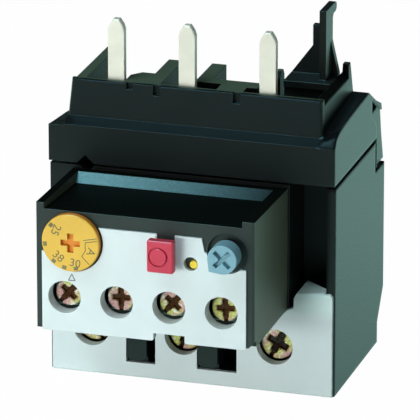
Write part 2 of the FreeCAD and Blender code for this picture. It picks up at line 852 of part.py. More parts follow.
def cover_lug():
    """Raised corner of the cover: a round-nosed block in the side pocket and a thin end plate."""
    right = cover_width / 2.0
    split = inside - 0.3
    low = chamber_roof + housing_wall + 0.05
    rise = cover_lug_height + cover_lug_right_rise
    nose = plan_profile([(cover_lug_left, 0), (split, 0), (split, cover_lug_depth - 6.0),
                         (cover_lug_left, cover_lug_depth)], low, rise)
    nose = rounded(nose, cover_lug_nose_radius, lambda e: near(e.CenterOfMass.y, front)
                   and near(e.CenterOfMass.z, rise))
    end = rounded(box(split, right, 0, lower_setback, low, rise), cover_lug_edge_radius,
                  lambda e: near(e.CenterOfMass.y, front) and near(e.CenterOfMass.z, rise))
    outline = front_profile([(cover_lug_left, low), (right, low), (right, rise - 0.6),
                             (right - 0.6, rise), (cover_lug_left + 0.4, cover_lug_height + 0.2),
                             (cover_lug_left, cover_lug_height - 0.6)], -1, cover_lug_depth + 1)
    lug = joined([nose, end]).common(outline)
    return lug.fuse(box(cover_lug_left, right, 0, cover_thickness, low - 2.0, low + 0.5))


def terminal_cover():
    """Light cover over the terminals: guide tubes, latch windows and the raised lug."""
    half = cover_width / 2.0
    step = box_right + 0.1
    plate = front_profile([(-half, 0), (half, 0), (half, cover_height), (step + 1.5, cover_height),
                           (step + 1.5, cover_height + 1.0), (step, cover_height + 0.5),
                           (step, cover_height), (-half, cover_height)], 0, cover_thickness)
    pieces = [plate, cover_lug()]
    for x in terminal_x:
        pieces.append(rod(x, terminal_height, screw_hole_radius + cover_guide_wall, 0,
                          cover_thickness + cover_guide_length))
    cover = joined(pieces)
    for x in terminal_x:
        cover = cover.cut(rod(x, terminal_height, screw_hole_radius, -1,
                              cover_thickness + cover_guide_length + 1))
    for left, right in cover_windows():
        cover = cover.cut(box(left, right, -1, cover_thickness + cover_guide_length + 1,
                              window_bottom, window_top))
    return rounded(cover, 0.6, lambda e: near(e.CenterOfMass.y, front)
                   and near(e.CenterOfMass.z, 0) or (runs_along(e, "z")
                                                     and near(e.CenterOfMass.x, -half)
                                                     and near(e.CenterOfMass.y, front)))


# ---------------------------------------------------------------- control box

def box_side_view(rise):
    """Side view of the control box; the top falls to the rear, then a bevel climbs again."""
    return [(box_front, box_bottom), (box_front, box_top), (lower_setback - 3.5, box_top_rear),
            (lower_setback - 3.5 + box_bevel, box_top_rear + rise),
            (lower_setback, box_top_rear + rise), (lower_setback, box_bottom)]


def rib_side_view():
    """Side view of the two ribs that flank the sunk top."""
    return [(box_front, box_bottom), (box_front, box_top + box_rib_height),
            (lower_setback, box_top_rear + box_bevel), (lower_setback, box_bottom)]


def panel_openings(d0, d1):
    """Parts of the panel's rectangle that are cut away round dial, button and knob."""
    dial_corner = box(panel_left - 2, dial_x, d0, d1, dial_height - 2.6, panel_top + 2)
    dial_round = rod(dial_x, dial_height, dial_radius + 0.4, d0, d1)
    half = button_stem_width / 2.0 + 0.55
    button_way = box(button_stem_x - half, button_stem_x + half, d0, d1,
                     button_height - button_stem_height / 2.0 - 0.5, panel_top + 2)
    knob_corner = front_profile([(panel_step_x - 0.3, panel_top + 2),
                                 (panel_step_x - 0.3, panel_top), (panel_step_x + 0.2, knob_height),
                                 (knob_x, panel_step_height), (panel_right + 2, panel_step_height),
                                 (panel_right + 2, panel_top + 2)], d0, d1)
    knob_round = rod(knob_x, knob_height, knob_well_radius, d0, d1)
    return [dial_corner, dial_round, button_way, knob_corner, knob_round]


def front_panel():
    """Light grey panel with collars round the four screw holes."""
    back = panel_front + panel_thickness
    sheet = box(panel_left, panel_right, panel_front, back, panel_bottom, panel_top)
    for opening in panel_openings(panel_front - 1, back + 1):
        sheet = sheet.cut(opening)
    notch = box(panel_notch_left, panel_notch_right, panel_front - 1, back + 1, panel_bottom - 1,
                panel_bottom + panel_notch_height)
    sheet = sheet.cut(notch)
    collars = [rod(x, aux_height, aux_hole_radius + panel_collar_wall, panel_front + 0.3,
                   back + panel_collar_length) for x in aux_x]
    sheet = joined([sheet] + collars)
    for x in aux_x:
        sheet = sheet.cut(rod(x, aux_height, aux_hole_radius, panel_front - 1,
                              back + panel_collar_length + 1))
    sheet = sheet.cut(rod(flag_hole_x, flag_hole_height, flag_hole_radius, panel_front - 1,
                          back + 1))
    return rounded(sheet, 0.35, lambda e: runs_along(e, "y") and near(e.CenterOfMass.z, panel_bottom))


def aux_dividers():
    """Thin walls between the auxiliary terminals."""
    walls = []
    for i in range(3):
        x = (aux_x[i] + aux_x[i + 1]) / 2.0
        walls.append(box(x - 0.5, x + 0.5, box_inner_front - 0.1, aux_bar_front - 1.0,
                         box_floor_height, aux_strip_height))
    return walls


def inner_wall():
    """Cross wall that guides the carrier and seats the springs."""
    return box(box_left + box_wall - 0.1, box_right - box_wall + 0.1, inner_wall_depth,
               inner_wall_depth + inner_wall_thickness, inner_wall_bottom, box_roof + 0.1)


def box_edges(shell):
    """Round the right front edge and cut the lower right corner."""
    shell = rounded(shell, box_edge_radius, lambda e: runs_along(e, "z")
                    and near(e.CenterOfMass.x, box_right) and near(e.CenterOfMass.y, at_depth(box_front)))
    cut = front_profile([(box_right - box_corner_cut, box_bottom - tiny), (box_right + 1, box_bottom - tiny),
                         (box_right + 1, box_bottom + box_corner_cut + 1.0)], box_front - 1,
                        box_front + box_wall)
    return shell.cut(cut)


def control_box():
    """Black box open to the rear, with sunk top, ribs, rebate, wells and wire entries."""
    middle = side_profile(box_side_view(box_bevel), box_left + tiny, box_right - tiny)
    ribs = [side_profile(rib_side_view(), box_left, box_left + box_left_rib),
            side_profile(rib_side_view(), box_right - box_right_rib, box_right)]
    shell = box_edges(joined([middle] + ribs))
    room = box(box_left + box_wall, box_right - box_wall, box_inner_front, lower_setback + 1,
               box_floor_top, box_roof)
    under = box(box_left + box_wall, box_right - box_wall, box_inner_front, lower_setback + 1,
                box_bottom - 1, box_floor_height)
    shell = shell.cut(room).cut(under)
    shell = joined([shell, inner_wall()] + aux_dividers())
    rebate = box(panel_left - 0.1, panel_right + 0.1, box_front - 1, panel_front + panel_thickness,
                 box_bottom - 1, panel_top + 0.1)
    for opening in panel_openings(box_front - 2, box_front + 2):
        rebate = rebate.cut(opening)
    shell = shell.cut(rebate)
    shell = shell.cut(box(panel_notch_left, panel_notch_right, box_front - 1, box_inner_front + 1,
                          box_bottom - 1, box_floor_height))
    for x in aux_x:
        shell = shell.cut(rod(x, aux_height, aux_hole_radius + panel_collar_wall + 0.1,
                              box_front - 1, box_inner_front + 1))
        shell = shell.cut(box(x - 3.3, x + 3.3, box_inner_front, aux_bar_front - 0.1,
                              box_floor_height - 1, box_floor_top + 1))
    return cut_control_ways(shell)


def cut_control_ways(shell):
    """Holes in the front and inner wall for spindle, stems, flag and guide pin."""
    inner_back = inner_wall_depth + inner_wall_thickness + 1
    well = rod(knob_x, knob_height, knob_well_radius, box_front - 1, box_front + knob_well_depth)
    plunger = rod(knob_x, knob_height, plunger_radius + running_clearance, box_front - 1,
                  box_inner_front + 1)
    spindle = rod(dial_x, dial_height, spindle_radius + running_clearance, box_front - 1,
                  box_inner_front + 1)
    flag = rod(flag_x, flag_height, flag_radius + running_clearance, box_front - 1, inner_back)
    guide_z = carrier_bottom + carrier_height / 2.0 + 0.8
    guide = rod(guide_pin_x, guide_z, guide_pin_radius + running_clearance, inner_wall_depth - 1,
                inner_back)
    half_w = button_stem_width / 2.0 + stem_clearance
    half_h = button_stem_height / 2.0 + stem_clearance
    stem = box(button_stem_x - half_w, button_stem_x + half_w, box_front - 1,
               box_inner_front + 1, button_height - half_h, button_height + half_h)
    for way in (well, plunger, spindle, flag, guide, stem):
        shell = shell.cut(way)
    return shell


# ---------------------------------------------------------------- auxiliary terminals

def aux_screws():
    """Four clamp screws behind the panel's holes."""
    head_front = panel_front + aux_head_recess
    return Part.makeCompound([cheese_head_screw(x, aux_height, aux_head_radius, head_front,
                                                aux_head_length, aux_shank_radius,
                                                aux_bar_front + 3.0) for x in aux_x])


def aux_clamp_plates():
    """Four square washers under the screw heads."""
    half = aux_clamp_side / 2.0
    back = panel_front + aux_head_recess + aux_head_length
    plates = []
    for x in aux_x:
        plate = box(x - half, x + half, back, back + aux_clamp_thickness, aux_height - half,
                    aux_height + half)
        plates.append(plate.cut(rod(x, aux_height, aux_shank_radius + 0.1, back - 1, back + 2)))
    return Part.makeCompound(plates)


def contact_places():
    """X of each fixed contact, and the depth of its front face: closing pair, opening pair."""
    opening = carrier_front + carrier_thickness + bridge_thickness + closed_contact_gap
    closing = carrier_front - bridge_thickness - carrier_travel - 0.05 - aux_strip_thickness
    return [(aux_x[0] + opening_contact_shift[0], opening),
            (aux_x[1] + opening_contact_shift[1], opening),
            (aux_x[2], closing), (aux_x[3], closing)]


def aux_contact_bar(i):
    """Tapped terminal plate, strip over the back and upright fixed contact."""
    x = aux_x[i]
    half = aux_bar_width / 2.0
    contact_x, contact_front = contact_places()[i]
    top = aux_strip_height + aux_strip_thickness
    plate = box(x - half, x + half, aux_bar_front, aux_bar_front + aux_bar_thickness, box_floor_top,
                top)
    plate = plate.cut(rod(x, aux_height, aux_shank_radius + 0.05, aux_bar_front - 1,
                          aux_bar_front + aux_bar_thickness + 1))
    low = min(x - half, contact_x - 1.0)
    high = max(x + half, contact_x + 1.0)
    shelf = box(low, high, aux_bar_front, aux_bar_front + 2.4, aux_strip_height, top)
    strip = box(contact_x - 1.0, contact_x + 1.0, aux_bar_front, contact_front
                + aux_strip_thickness, aux_strip_height, top)
    contact = box(contact_x - 1.0, contact_x + 1.0, contact_front, contact_front
                  + aux_strip_thickness, aux_strip_height, contact_top)
    return joined([plate, shelf, strip, contact])


# ---------------------------------------------------------------- dial, button, knob

def current_dial():
    """Setting dial with a cross recess in its face."""
    back = panel_front + 0.1
    face = back - dial_thickness
    disc = rod(dial_x, dial_height, dial_radius, face, back)
    disc = rounded(disc, 0.3, lambda e: near(e.CenterOfMass.y, at_depth(face)))
    return disc.cut(cross_recess(dial_x, dial_height, dial_recess_radius, face, dial_recess_depth,
                                 dial_recess_radius * 0.62))


def dial_spindle():
    """Spindle behind the dial, with the eccentric cam that shifts the trip point."""
    end = inner_wall_depth - 0.3
    spindle = rod(dial_x, dial_height, spindle_radius, panel_front + 0.1, end)
    cam = rod(dial_x + cam_offset, dial_height, cam_radius, end - 2.0, end)
    collar = rod(dial_x, dial_height, spindle_radius + 0.6, box_inner_front + 0.2,
                 box_inner_front + 1.0)
    return joined([spindle, cam, collar])


def test_off_button():
    """Red button: cap with a disc inside a groove, stem through the panel and a spring foot."""
    half_w = button_cap_width / 2.0
    half_h = button_cap_height / 2.0
    back = button_front + button_cap_thickness
    cap = box(button_x - half_w, button_x + half_w, button_front, back, button_height - half_h,
              button_height + half_h)
    cap = rounded(cap, 0.4, lambda e: e.CenterOfMass.y < at_depth(back) - 0.1)
    disc_x = button_x - button_disc_shift
    groove = rod(disc_x, button_height, button_disc_radius + button_groove_width, button_front - 1,
                 button_front + 0.35)
    disc = rod(disc_x, button_height, button_disc_radius, button_front - 0.15, button_front + 0.5)
    disc = bevelled(disc, 0.12, lambda e: near(e.CenterOfMass.y, at_depth(button_front - 0.15)))
    stem = box(button_stem_x - button_stem_width / 2.0, button_stem_x + button_stem_width / 2.0,
               back - tiny, spring_seat, button_height - button_stem_height / 2.0,
               button_height + button_stem_height / 2.0)
    stop = box(button_stem_x - 2.2, button_stem_x + 2.2, box_inner_front + 0.2, box_inner_front + 1.2,
               button_height - 2.6, button_height + 2.6)
    return joined([cap.cut(groove), disc, stem, stop])


def reset_knob():
    """Blue knob: a round head drawn out to a pointer, with a cross slot and a blind bore."""
    round_head = rod(knob_x, knob_height, knob_radius, knob_front, knob_back)
    spread = math.acos(knob_radius / knob_pointer_reach)
    tip = math.radians(225)
    points = [(knob_x + knob_pointer_reach * math.cos(tip),
               knob_height + knob_pointer_reach * math.sin(tip))]
    for side in (-1, 1):
        angle = tip + side * spread
        points.insert(1, (knob_x + knob_radius * math.cos(angle),
                          knob_height + knob_radius * math.sin(angle)))
    points.append((knob_x, knob_height))
    ordered = [points[0], points[1], points[3], points[2]]
    head = joined([round_head, front_profile(ordered, knob_front, knob_back)])
    slot = cross_recess(knob_x, knob_height, knob_radius * 0.74, knob_front, 1.1, 0.95)
    slot.rotate(FreeCAD.Vector(knob_x, 0, knob_height), FreeCAD.Vector(0, 1, 0), 45)
    bore = rod(knob_x, knob_height, plunger_radius + running_clearance, knob_front + 1.7,
               knob_back + 1)
    return head.cut(slot).cut(bore)


def reset_plunger():
    """Plunger that the knob turns on and that carries it inwards."""
    stem = rod(knob_x, knob_height, plunger_radius, knob_front + 1.8, spring_seat)
    collar = rod(knob_x, knob_height, plunger_radius + 0.9, box_inner_front + 0.2,
                 box_inner_front + 1.2)
    foot = rod(knob_x, knob_height, spring_radius + 0.5, plunger_foot_depth, spring_seat)
    return joined([stem, collar, foot])


def button_spring(x, z):
    """Return spring between a stem's foot and the inner wall."""
    low = spring_seat + spring_wire_radius + 0.03
    room = inner_wall_depth - spring_wire_radius - 0.03 - low
    base = FreeCAD.Vector(x, at_depth(low), z)
    section = [(spring_wire_radius * math.cos(math.radians(90 * i)),
                spring_wire_radius * math.sin(math.radians(90 * i))) for i in range(4)]
    return coil(spring_radius, section, room / spring_turns, spring_turns, base,
                FreeCAD.Vector(0, 1, 0))


# ---------------------------------------------------------------- trip mechanism

def trip_slider():
    """Comb plate that the three bimetals push, with an arm forward to the lever."""
    top = slider_height + slider_thickness
    left = terminal_x[0] - 3.4
    right = terminal_x[2] + 3.4
    plate = box(left, right, slider_front, slider_back, slider_height, top)
    arm_left = slider_arm_x - slider_arm_width / 2.0
    arm_right = slider_arm_x + slider_arm_width / 2.0
    tip = lever_depth - lever_arm
    arm = box(arm_left, arm_right, tip - 0.7, slider_back, top - tiny, top + slider_thickness)
    finger = box(arm_left, lever_x - lever_thickness / 2.0 - lever_gap, tip - 0.7, tip + 0.7, top,
                 carrier_bottom - 1.5)
    comb = joined([plate, arm, finger])
    for x in terminal_x:
        half = bimetal_thickness / 2.0 + slider_clearance
        reach = bimetal_width / 2.0 + 0.4
        comb = comb.cut(box(x - half - slider_travel, x + half, bimetal_depth - reach,
                            bimetal_depth + reach, slider_height - 1, top + slider_thickness + 1))
    return comb


def pivot_pin():
    """Upright pin of the lever, with a collar that carries it."""
    pin = post(lever_x, lever_depth, pivot_radius, box_floor_top, contact_top + 1)
    collar = post(lever_x, lever_depth, pivot_radius + 0.6, box_floor_top,
                  lever_bottom - 0.2)
    return joined([pin, collar])


def transfer_lever():
    """Bell crank: one arm against the slider's finger, one behind the carrier."""
    half = lever_thickness / 2.0
    low = lever_bottom
    hub = post(lever_x, lever_depth, pivot_radius + 1.0, low, contact_top - 1)
    arm = box(lever_x - half, lever_x + half, lever_depth - lever_arm - 0.9, lever_depth, low,
              carrier_bottom - 1)
    reach = box(lever_x - lever_reach, lever_x, lever_depth - half, lever_depth + half,
                carrier_bottom - 0.5, contact_top - 1)
    bore = post(lever_x, lever_depth, pivot_radius + pivot_clearance, low - 1, contact_top + 1)
    return joined([hub, arm, reach]).cut(bore)


def contact_carrier():
    """Sliding bar with a pad for the lever and a guide pin through the inner wall."""
    back = carrier_front + carrier_thickness
    top = carrier_bottom + carrier_height
    bar = box(carrier_left, carrier_right, carrier_front, back, carrier_bottom, top)
    pad_x = lever_x - lever_reach
    pad = box(pad_x - 0.1, pad_x + 1.9, back - tiny, lever_depth - lever_thickness / 2.0 - lever_gap,
              carrier_bottom, contact_top - 1)
    guide = rod(guide_pin_x, carrier_bottom + carrier_height / 2.0 + 0.8, guide_pin_radius,
                inner_wall_depth - 0.8, carrier_front + tiny)
    lug = box(flag_x - 1.0, flag_x + 1.0, carrier_front, back, top - tiny, flag_height + 1.0)
    return joined([bar, pad, guide, lug])


def trip_flag():
    """Yellow pin that shows through the panel when the relay has tripped."""
    pin = rod(flag_x, flag_height, flag_radius, panel_front + flag_recess, carrier_front)
    return bevelled(pin, 0.2, lambda e: near(e.CenterOfMass.y, at_depth(panel_front + flag_recess)))


def bridge_contact(first, second, behind):
    """Moving contact strip that joins two fixed contacts."""
    back = carrier_front + carrier_thickness
    face = back if behind else carrier_front - bridge_thickness
    xs = [contact_places()[first][0], contact_places()[second][0]]
    return box(min(xs) - 1.0, max(xs) + 1.0, face, face + bridge_thickness,
               carrier_bottom + 0.6, carrier_bottom + carrier_height - 0.6)


def nodes():
    """Every sub-part by name."""
    parts = {
        "lower_housing": lower_housing(),
        "upper_housing": upper_housing(),
        "housing_screws": housing_screws(),
        "latch_hook": latch_hook(),
        "terminal_cover": terminal_cover(),
        "main_terminal_screws": main_screws(),
        "control_box": control_box(),
        "front_panel": front_panel(),
        "aux_terminal_screws": aux_screws(),
        "aux_clamp_plates": aux_clamp_plates(),
        "current_dial": current_dial(),
        "dial_spindle": dial_spindle(),
        "test_off_button": test_off_button(),
        "off_button_spring": button_spring(button_stem_x, button_height),
        "reset_knob": reset_knob(),
        "reset_plunger": reset_plunger(),
        "reset_spring": button_spring(knob_x, knob_height),
        "trip_slider": trip_slider(),
        "pivot_pin": pivot_pin(),
        "transfer_lever": transfer_lever(),
        "contact_carrier": contact_carrier(),
        "trip_flag": trip_flag(),
        "opening_bridge": bridge_contact(0, 1, True),
        "closing_bridge": bridge_contact(2, 3, False),
    }
    for i, x in enumerate(terminal_x):
        phase = str(i + 1)
        parts["contact_blade_" + phase] = contact_blade(i)
        parts["bimetal_strip_" + phase] = bimetal_strip(x)
        parts["heater_winding_" + phase] = heater_winding(x)
        parts["terminal_bar_" + phase] = terminal_bar(x)
        parts["terminal_clamp_" + phase] = terminal_clamp(x)
    for i in range(4):
        parts["aux_contact_bar_" + str(i + 1)] = aux_contact_bar(i)
    return parts


os.makedirs("parts", exist_ok=True)
for name, shape in nodes().items():
    shape.exportStep("parts/" + name + ".step")
    box_size = shape.BoundBox
    print(name, "solids", len(shape.Solids), "valid", shape.isValid(),
          "volume", round(shape.Volume, 1))
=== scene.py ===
import json
import math
from collections import namedtuple

import bmesh
import bpy
import numpy as np
from bpy.props import FloatProperty, FloatVectorProperty, IntProperty, PointerProperty
from mathutils import Matrix, Vector


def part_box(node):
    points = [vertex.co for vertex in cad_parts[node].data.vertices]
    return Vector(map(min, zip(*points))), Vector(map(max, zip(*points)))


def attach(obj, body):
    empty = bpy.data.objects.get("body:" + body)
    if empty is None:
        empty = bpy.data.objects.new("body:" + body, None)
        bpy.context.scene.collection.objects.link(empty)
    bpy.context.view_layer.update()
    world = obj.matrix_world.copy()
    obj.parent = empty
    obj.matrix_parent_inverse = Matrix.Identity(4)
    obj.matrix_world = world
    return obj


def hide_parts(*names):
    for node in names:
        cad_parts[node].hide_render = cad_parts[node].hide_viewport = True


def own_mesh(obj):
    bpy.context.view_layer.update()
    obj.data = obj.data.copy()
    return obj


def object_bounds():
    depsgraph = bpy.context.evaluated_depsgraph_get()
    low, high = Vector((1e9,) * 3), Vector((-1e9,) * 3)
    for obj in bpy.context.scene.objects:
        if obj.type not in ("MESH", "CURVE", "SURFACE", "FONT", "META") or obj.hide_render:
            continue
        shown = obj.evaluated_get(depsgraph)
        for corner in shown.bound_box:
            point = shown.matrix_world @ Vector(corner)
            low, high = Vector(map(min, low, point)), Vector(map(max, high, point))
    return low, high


bl_info = {
    "name": "Overload Relay Dressing",
    "version": (1, 0, 0),
    "blender": (4, 5, 0),
    "location": "View3D > Sidebar > Relay",
    "description": "Finishes, screw heads, dial print and stage for a thermal overload relay",
    "category": "Object",
}

# Lengths are in metres, angles in degrees where a name says so, and colours are linear.
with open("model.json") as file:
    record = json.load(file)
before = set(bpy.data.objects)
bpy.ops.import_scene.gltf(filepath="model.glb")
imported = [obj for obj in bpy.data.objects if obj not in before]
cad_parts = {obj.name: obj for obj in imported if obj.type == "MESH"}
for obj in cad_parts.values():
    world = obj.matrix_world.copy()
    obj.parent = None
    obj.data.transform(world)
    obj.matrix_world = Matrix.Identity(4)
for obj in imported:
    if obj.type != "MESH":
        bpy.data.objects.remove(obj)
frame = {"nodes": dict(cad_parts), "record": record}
NODES = frame["nodes"]
CAD_LOW, CAD_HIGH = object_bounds()
MM = 0.001

# ------------------------------------------------------------------ node groups of like finish

WHITE_NODES = ("dial_spindle", "trip_slider", "contact_carrier")
BRASS_NODES = ("terminal_bar_", "aux_contact_bar_", "opening_bridge", "closing_bridge")
ZINC_NODES = ("terminal_clamp_", "aux_clamp_plates", "housing_screws", "pivot_pin")
BIMETAL_NODES = ("bimetal_strip_", "transfer_lever")
# Joint, its travel, the spring's node and where the spring's fixed end is
SPRINGS = [(joint["name"], joint["range_m"][1], entry["node"], entry["fixed_end_y_m"])
           for joint in frame["record"]["behaviour"]["joints"]
           for entry in joint.get("deforming_nodes") or ()]


# ------------------------------------------------------------------ settings

def colour_prop(name, description, default):
    """A colour that the sidebar shows."""
    return FloatVectorProperty(name=name, description=description, default=default,
                               subtype="COLOR", size=3, min=0.0, max=1.0)


class RelayColours(bpy.types.PropertyGroup):
    """Colours of the mouldings and metals, as linear values."""
    black: colour_prop("Housing black", "Satin black thermoplastic", (0.0060, 0.0072, 0.0070))
    # A lighter black than the housing's, laid over the whole control box; its right side also gets
    # painted light in the box's zones.
    box_side: colour_prop("Box black", "Control box, scuffed lighter", (0.027, 0.037, 0.033))
    grey: colour_prop("Cover grey", "Light grey thermoplastic", (0.61, 0.685, 0.685))
    latch: colour_prop("Latch brown-black", "Glass-filled thermoplastic", (0.0060, 0.0050, 0.0034))
    dial: colour_prop("Dial yellow", "Yellow-orange thermoplastic", (0.68, 0.42, 0.050))
    red: colour_prop("Button red", "Red thermoplastic", (0.52, 0.036, 0.070))
    blue: colour_prop("Knob blue", "Light blue thermoplastic", (0.185, 0.360, 0.430))
    flag: colour_prop("Flag yellow", "Yellow thermoplastic", (0.85, 0.62, 0.05))
    white: colour_prop("Inner white", "Natural thermoplastic", (0.78, 0.76, 0.68))
    tin: colour_prop("Tinned copper", "Matt tin on the blades", (0.86, 0.82, 0.69))
    chromate: colour_prop("Chromated steel", "Yellow-chromated screws", (0.66, 0.37, 0.34))
    bloom: colour_prop("Chromate bloom", "Its yellow-green patches", (0.58, 0.58, 0.16))
    brass: colour_prop("Brass", "Current bars", (0.72, 0.50, 0.22))
    zinc: colour_prop("Zinc", "Clamps and pins", (0.60, 0.61, 0.63))
    bimetal: colour_prop("Bimetal", "Strips and lever", (0.45, 0.43, 0.40))
    bimetal_dark: colour_prop("Bimetal patches", "Its darker patches", (0.38, 0.35, 0.31))
    heater: colour_prop("Heater", "Oxidised heater ribbon", (0.20, 0.16, 0.13))
    heater_pale: colour_prop("Heater patches", "Its paler patches", (0.30, 0.22, 0.16))
    spring: colour_prop("Spring steel", "Wire of the return springs", (0.42, 0.43, 0.45))
    spring_dark: colour_prop("Spring patches", "Its darker patches", (0.36, 0.37, 0.39))
    ink: colour_prop("Dial ink", "Print on the dial", (0.17, 0.155, 0.065))
    panel_ink: colour_prop("Panel ink", "Print on the panel", (0.12, 0.13, 0.14))


class RelaySizes(bpy.types.PropertyGroup):
    """Sizes of what is dressed on the solids."""
    edge_radius: FloatProperty(name="Edge radius", description="Rounding seen on moulded edges",
                               default=0.00018, min=0.0, max=0.001, unit="LENGTH")
    corner_radius: FloatProperty(name="Corner radius", description="Rounding of the right side",
                                 default=0.0013, min=0.0, max=0.003, unit="LENGTH")
    recess_depth: FloatProperty(name="Recess depth", description="Depth of the cross recess",
                                default=0.0013, min=0.0, max=0.003, unit="LENGTH")
    slot_width: FloatProperty(name="Slot width", description="Width of the slot in a screw head",
                              default=0.00075, min=0.0002, max=0.002, unit="LENGTH")
    print_height: FloatProperty(name="Print height", description="Thickness of the printed marks",
                                default=0.00002, min=0.000005, max=0.0001, unit="LENGTH")
    numeral_height: FloatProperty(name="Numeral height", description="Height of the dial numbers",
                                  default=0.0017, min=0.0005, max=0.004, unit="LENGTH")
    wire_radius: FloatProperty(name="Spring wire", description="Radius of the springs' wire",
                               default=0.00018, min=0.00005, max=0.0005, unit="LENGTH")
    spring_turns: IntProperty(name="Spring turns", description="Turns of a return spring",
                              default=4, min=3, max=8)
    rings: IntProperty(name="Rings", description="Rings of the grid over a screw head",
                       default=56, min=16, max=120)
    spokes: IntProperty(name="Spokes", description="Spokes of the grid over a screw head",
                        default=144, min=32, max=360)


class RelayStage(bpy.types.PropertyGroup):
    """Camera and light."""
    azimuth: FloatProperty(name="Azimuth", description="Camera turned to the right of the front",
                           default=math.radians(16.636), subtype="ANGLE")
    elevation: FloatProperty(name="Elevation", description="Camera above the horizon",
                             default=math.radians(19.43), subtype="ANGLE")
    distance: FloatProperty(name="Distance", description="Camera to the foot of the front face",
                            default=1.221417, min=0.2, unit="LENGTH")
    lens: FloatProperty(name="Focal length", description="Millimetres on a 36 mm sensor",
                        default=514.29, min=20.0)
    right: FloatProperty(name="Aim right", description="Camera moved along its own right",
                         default=0.003887, unit="LENGTH")
    up: FloatProperty(name="Aim up", description="Camera moved along its own up",
                      default=0.035305, unit="LENGTH")
    top_power: FloatProperty(name="Overhead light", description="Watts of the box overhead",
                             default=8.0, min=0.0)
    key_power: FloatProperty(name="Key light", description="Watts of the upper left lamp",
                             default=0.8, min=0.0)
    fill_power: FloatProperty(name="Fill light", description="Watts of the right-hand lamp",
                              default=1.05, min=0.0)
    low_power: FloatProperty(name="Low light", description="Watts of the low lamp in front",
                             default=9.5, min=0.0)
    foot_power: FloatProperty(name="Foot light", description="Watts of the small lamp at the foot",
                              default=0.16, min=0.0)
    sheen_power: FloatProperty(name="Sheen", description="Watts of the cold light seen in gloss",
                               default=14.5, min=0.0)
    world_low: FloatProperty(name="Room", description="Surround light near the horizon",
                             default=0.010, min=0.0)
    world_high: FloatProperty(name="Ceiling", description="Surround light overhead",
                              default=0.12, min=0.0)


# ------------------------------------------------------------------ mesh from numpy

def grid_faces(nu, nv, wrap_v=False):
    """Quads over an nu by nv grid of points numbered row by row; wrap_v closes every row."""
    a, b = np.meshgrid(np.arange(nu - 1), np.arange(nv if wrap_v else nv - 1), indexing="ij")
    after = (b + 1) % nv
    corners = [a * nv + b, (a + 1) * nv + b, (a + 1) * nv + after, a * nv + after]
    return np.stack(corners, -1).reshape(-1, 4)


def linked(name, data):
    """New object with that data, in the scene."""
    obj = bpy.data.objects.new(name, data)
    bpy.context.scene.collection.objects.link(obj)
    return obj


def mesh_piece(name, chunks, smooth=True):
    """One object from several (points, quads) chunks, with doubles merged and faces outwards."""
    points, faces, start = [], [], 0
    for chunk, quads in chunks:
        points.append(chunk.reshape(-1, 3))
        faces.append(quads + start)
        start += len(points[-1])
    points = np.concatenate(points)
    faces = np.concatenate(faces)
    mesh = bpy.data.meshes.new(name)
    mesh.vertices.add(len(points))
    mesh.vertices.foreach_set("co", points.astype(np.float32).ravel())
    mesh.loops.add(faces.size)
    mesh.loops.foreach_set("vertex_index", faces.astype(np.int32).ravel())
    mesh.polygons.add(len(faces))
    mesh.polygons.foreach_set("loop_start", np.arange(0, faces.size, 4, dtype=np.int32))
    mesh.polygons.foreach_set("use_smooth", np.full(len(faces), smooth))
    mesh.update(calc_edges=True)
    mesh.validate()
    clean(mesh)
    return linked(name, mesh)


def clean(mesh):
    """Merges doubles, drops collapsed faces and points faces outwards."""
    bm = bmesh.new()
    bm.from_mesh(mesh)
    bmesh.ops.remove_doubles(bm, verts=bm.verts, dist=1e-7)
    bmesh.ops.dissolve_degenerate(bm, edges=bm.edges, dist=1e-8)
    bmesh.ops.recalc_face_normals(bm, faces=bm.faces)
    bm.to_mesh(mesh)
    bm.free()


def front_frame(x, y, z, u, v, w):
    """Points from head coordinates: u to the right, v up, w towards the front, about (x, y, z)."""
    return np.stack([x + u, y - w, z + v], -1)


def smooth_step(t):
    """3t^2 - 2t^3 between 0 and 1, flat outside."""
    t = np.clip(t, 0.0, 1.0)
    return t * t * (3.0 - 2.0 * t)


# ------------------------------------------------------------------ screw heads

# In head radii: where the dome starts to fall and how far it falls at the rim, the length and
# half-width of the cross's wings, and the length of the ticks between them.
DOME_START, DOME_FALL = 0.86, 0.13
CROSS_REACH, CROSS_WING = 0.80, 0.18
TICK_REACH = 0.46
# How far side walls ease out: in half-widths of wing and slot, and in lengths of a tick
CROSS_EASE, SLOT_EASE, TICK_EASE = 0.35, 0.3, 0.06
CROSS_FLOOR = 0.45              # share of the depth that the cross keeps at the ends of its wings
CROSS_CLOSES = 3.0              # the wings close over the last third of their length
TICK_WIDTH = 0.05               # half-width of a tick, in its length
TICK_DEPTH = 0.35               # in recess depths
SLOT_DEPTH = 0.62 * MM
THREAD_POINTS, THREAD_DEPTH = 36, 0.07      # crests and roots, and half the drop in shank radii
THREAD_START = 0.0001           # from the head's underside

# Recess is the painted shade behind the head's face, a dark colour; turns are how far each cross
# is turned, in radians.
ScrewRow = namedtuple("ScrewRow", "node radius length shank turns recess")
SCREW_ROWS = (
    ScrewRow("main_terminal_screws", radius=0.0035, length=0.0024, shank=0.0020,
             turns=(0.5, -0.35, -0.47), recess=(0.022, 0.007, 0.003)),
    ScrewRow("aux_terminal_screws", radius=0.0028, length=0.0020, shank=0.0017,
             turns=(-0.73, 0.02, -0.70, 0.05), recess=(0.075, 0.026, 0.006)),
)


def cross_depth(u, v, reach, wing, depth):
    """Depth of a cross recess: each wing is a trough of half-width wing, whose floor climbs in a
    straight line from the full depth in the middle to a share of it at reach, where it closes."""
    def trough(along, across):
        wall = 1.0 - smooth_step((np.abs(across) - wing) / (wing * CROSS_EASE))
        left = np.clip(1.0 - np.abs(along) / reach, 0.0, 1.0)
        floor = CROSS_FLOOR + (1.0 - CROSS_FLOOR) * left
        return wall * np.clip(left * CROSS_CLOSES, 0.0, 1.0) * floor
    return depth * np.maximum(trough(u, v), trough(v, u))


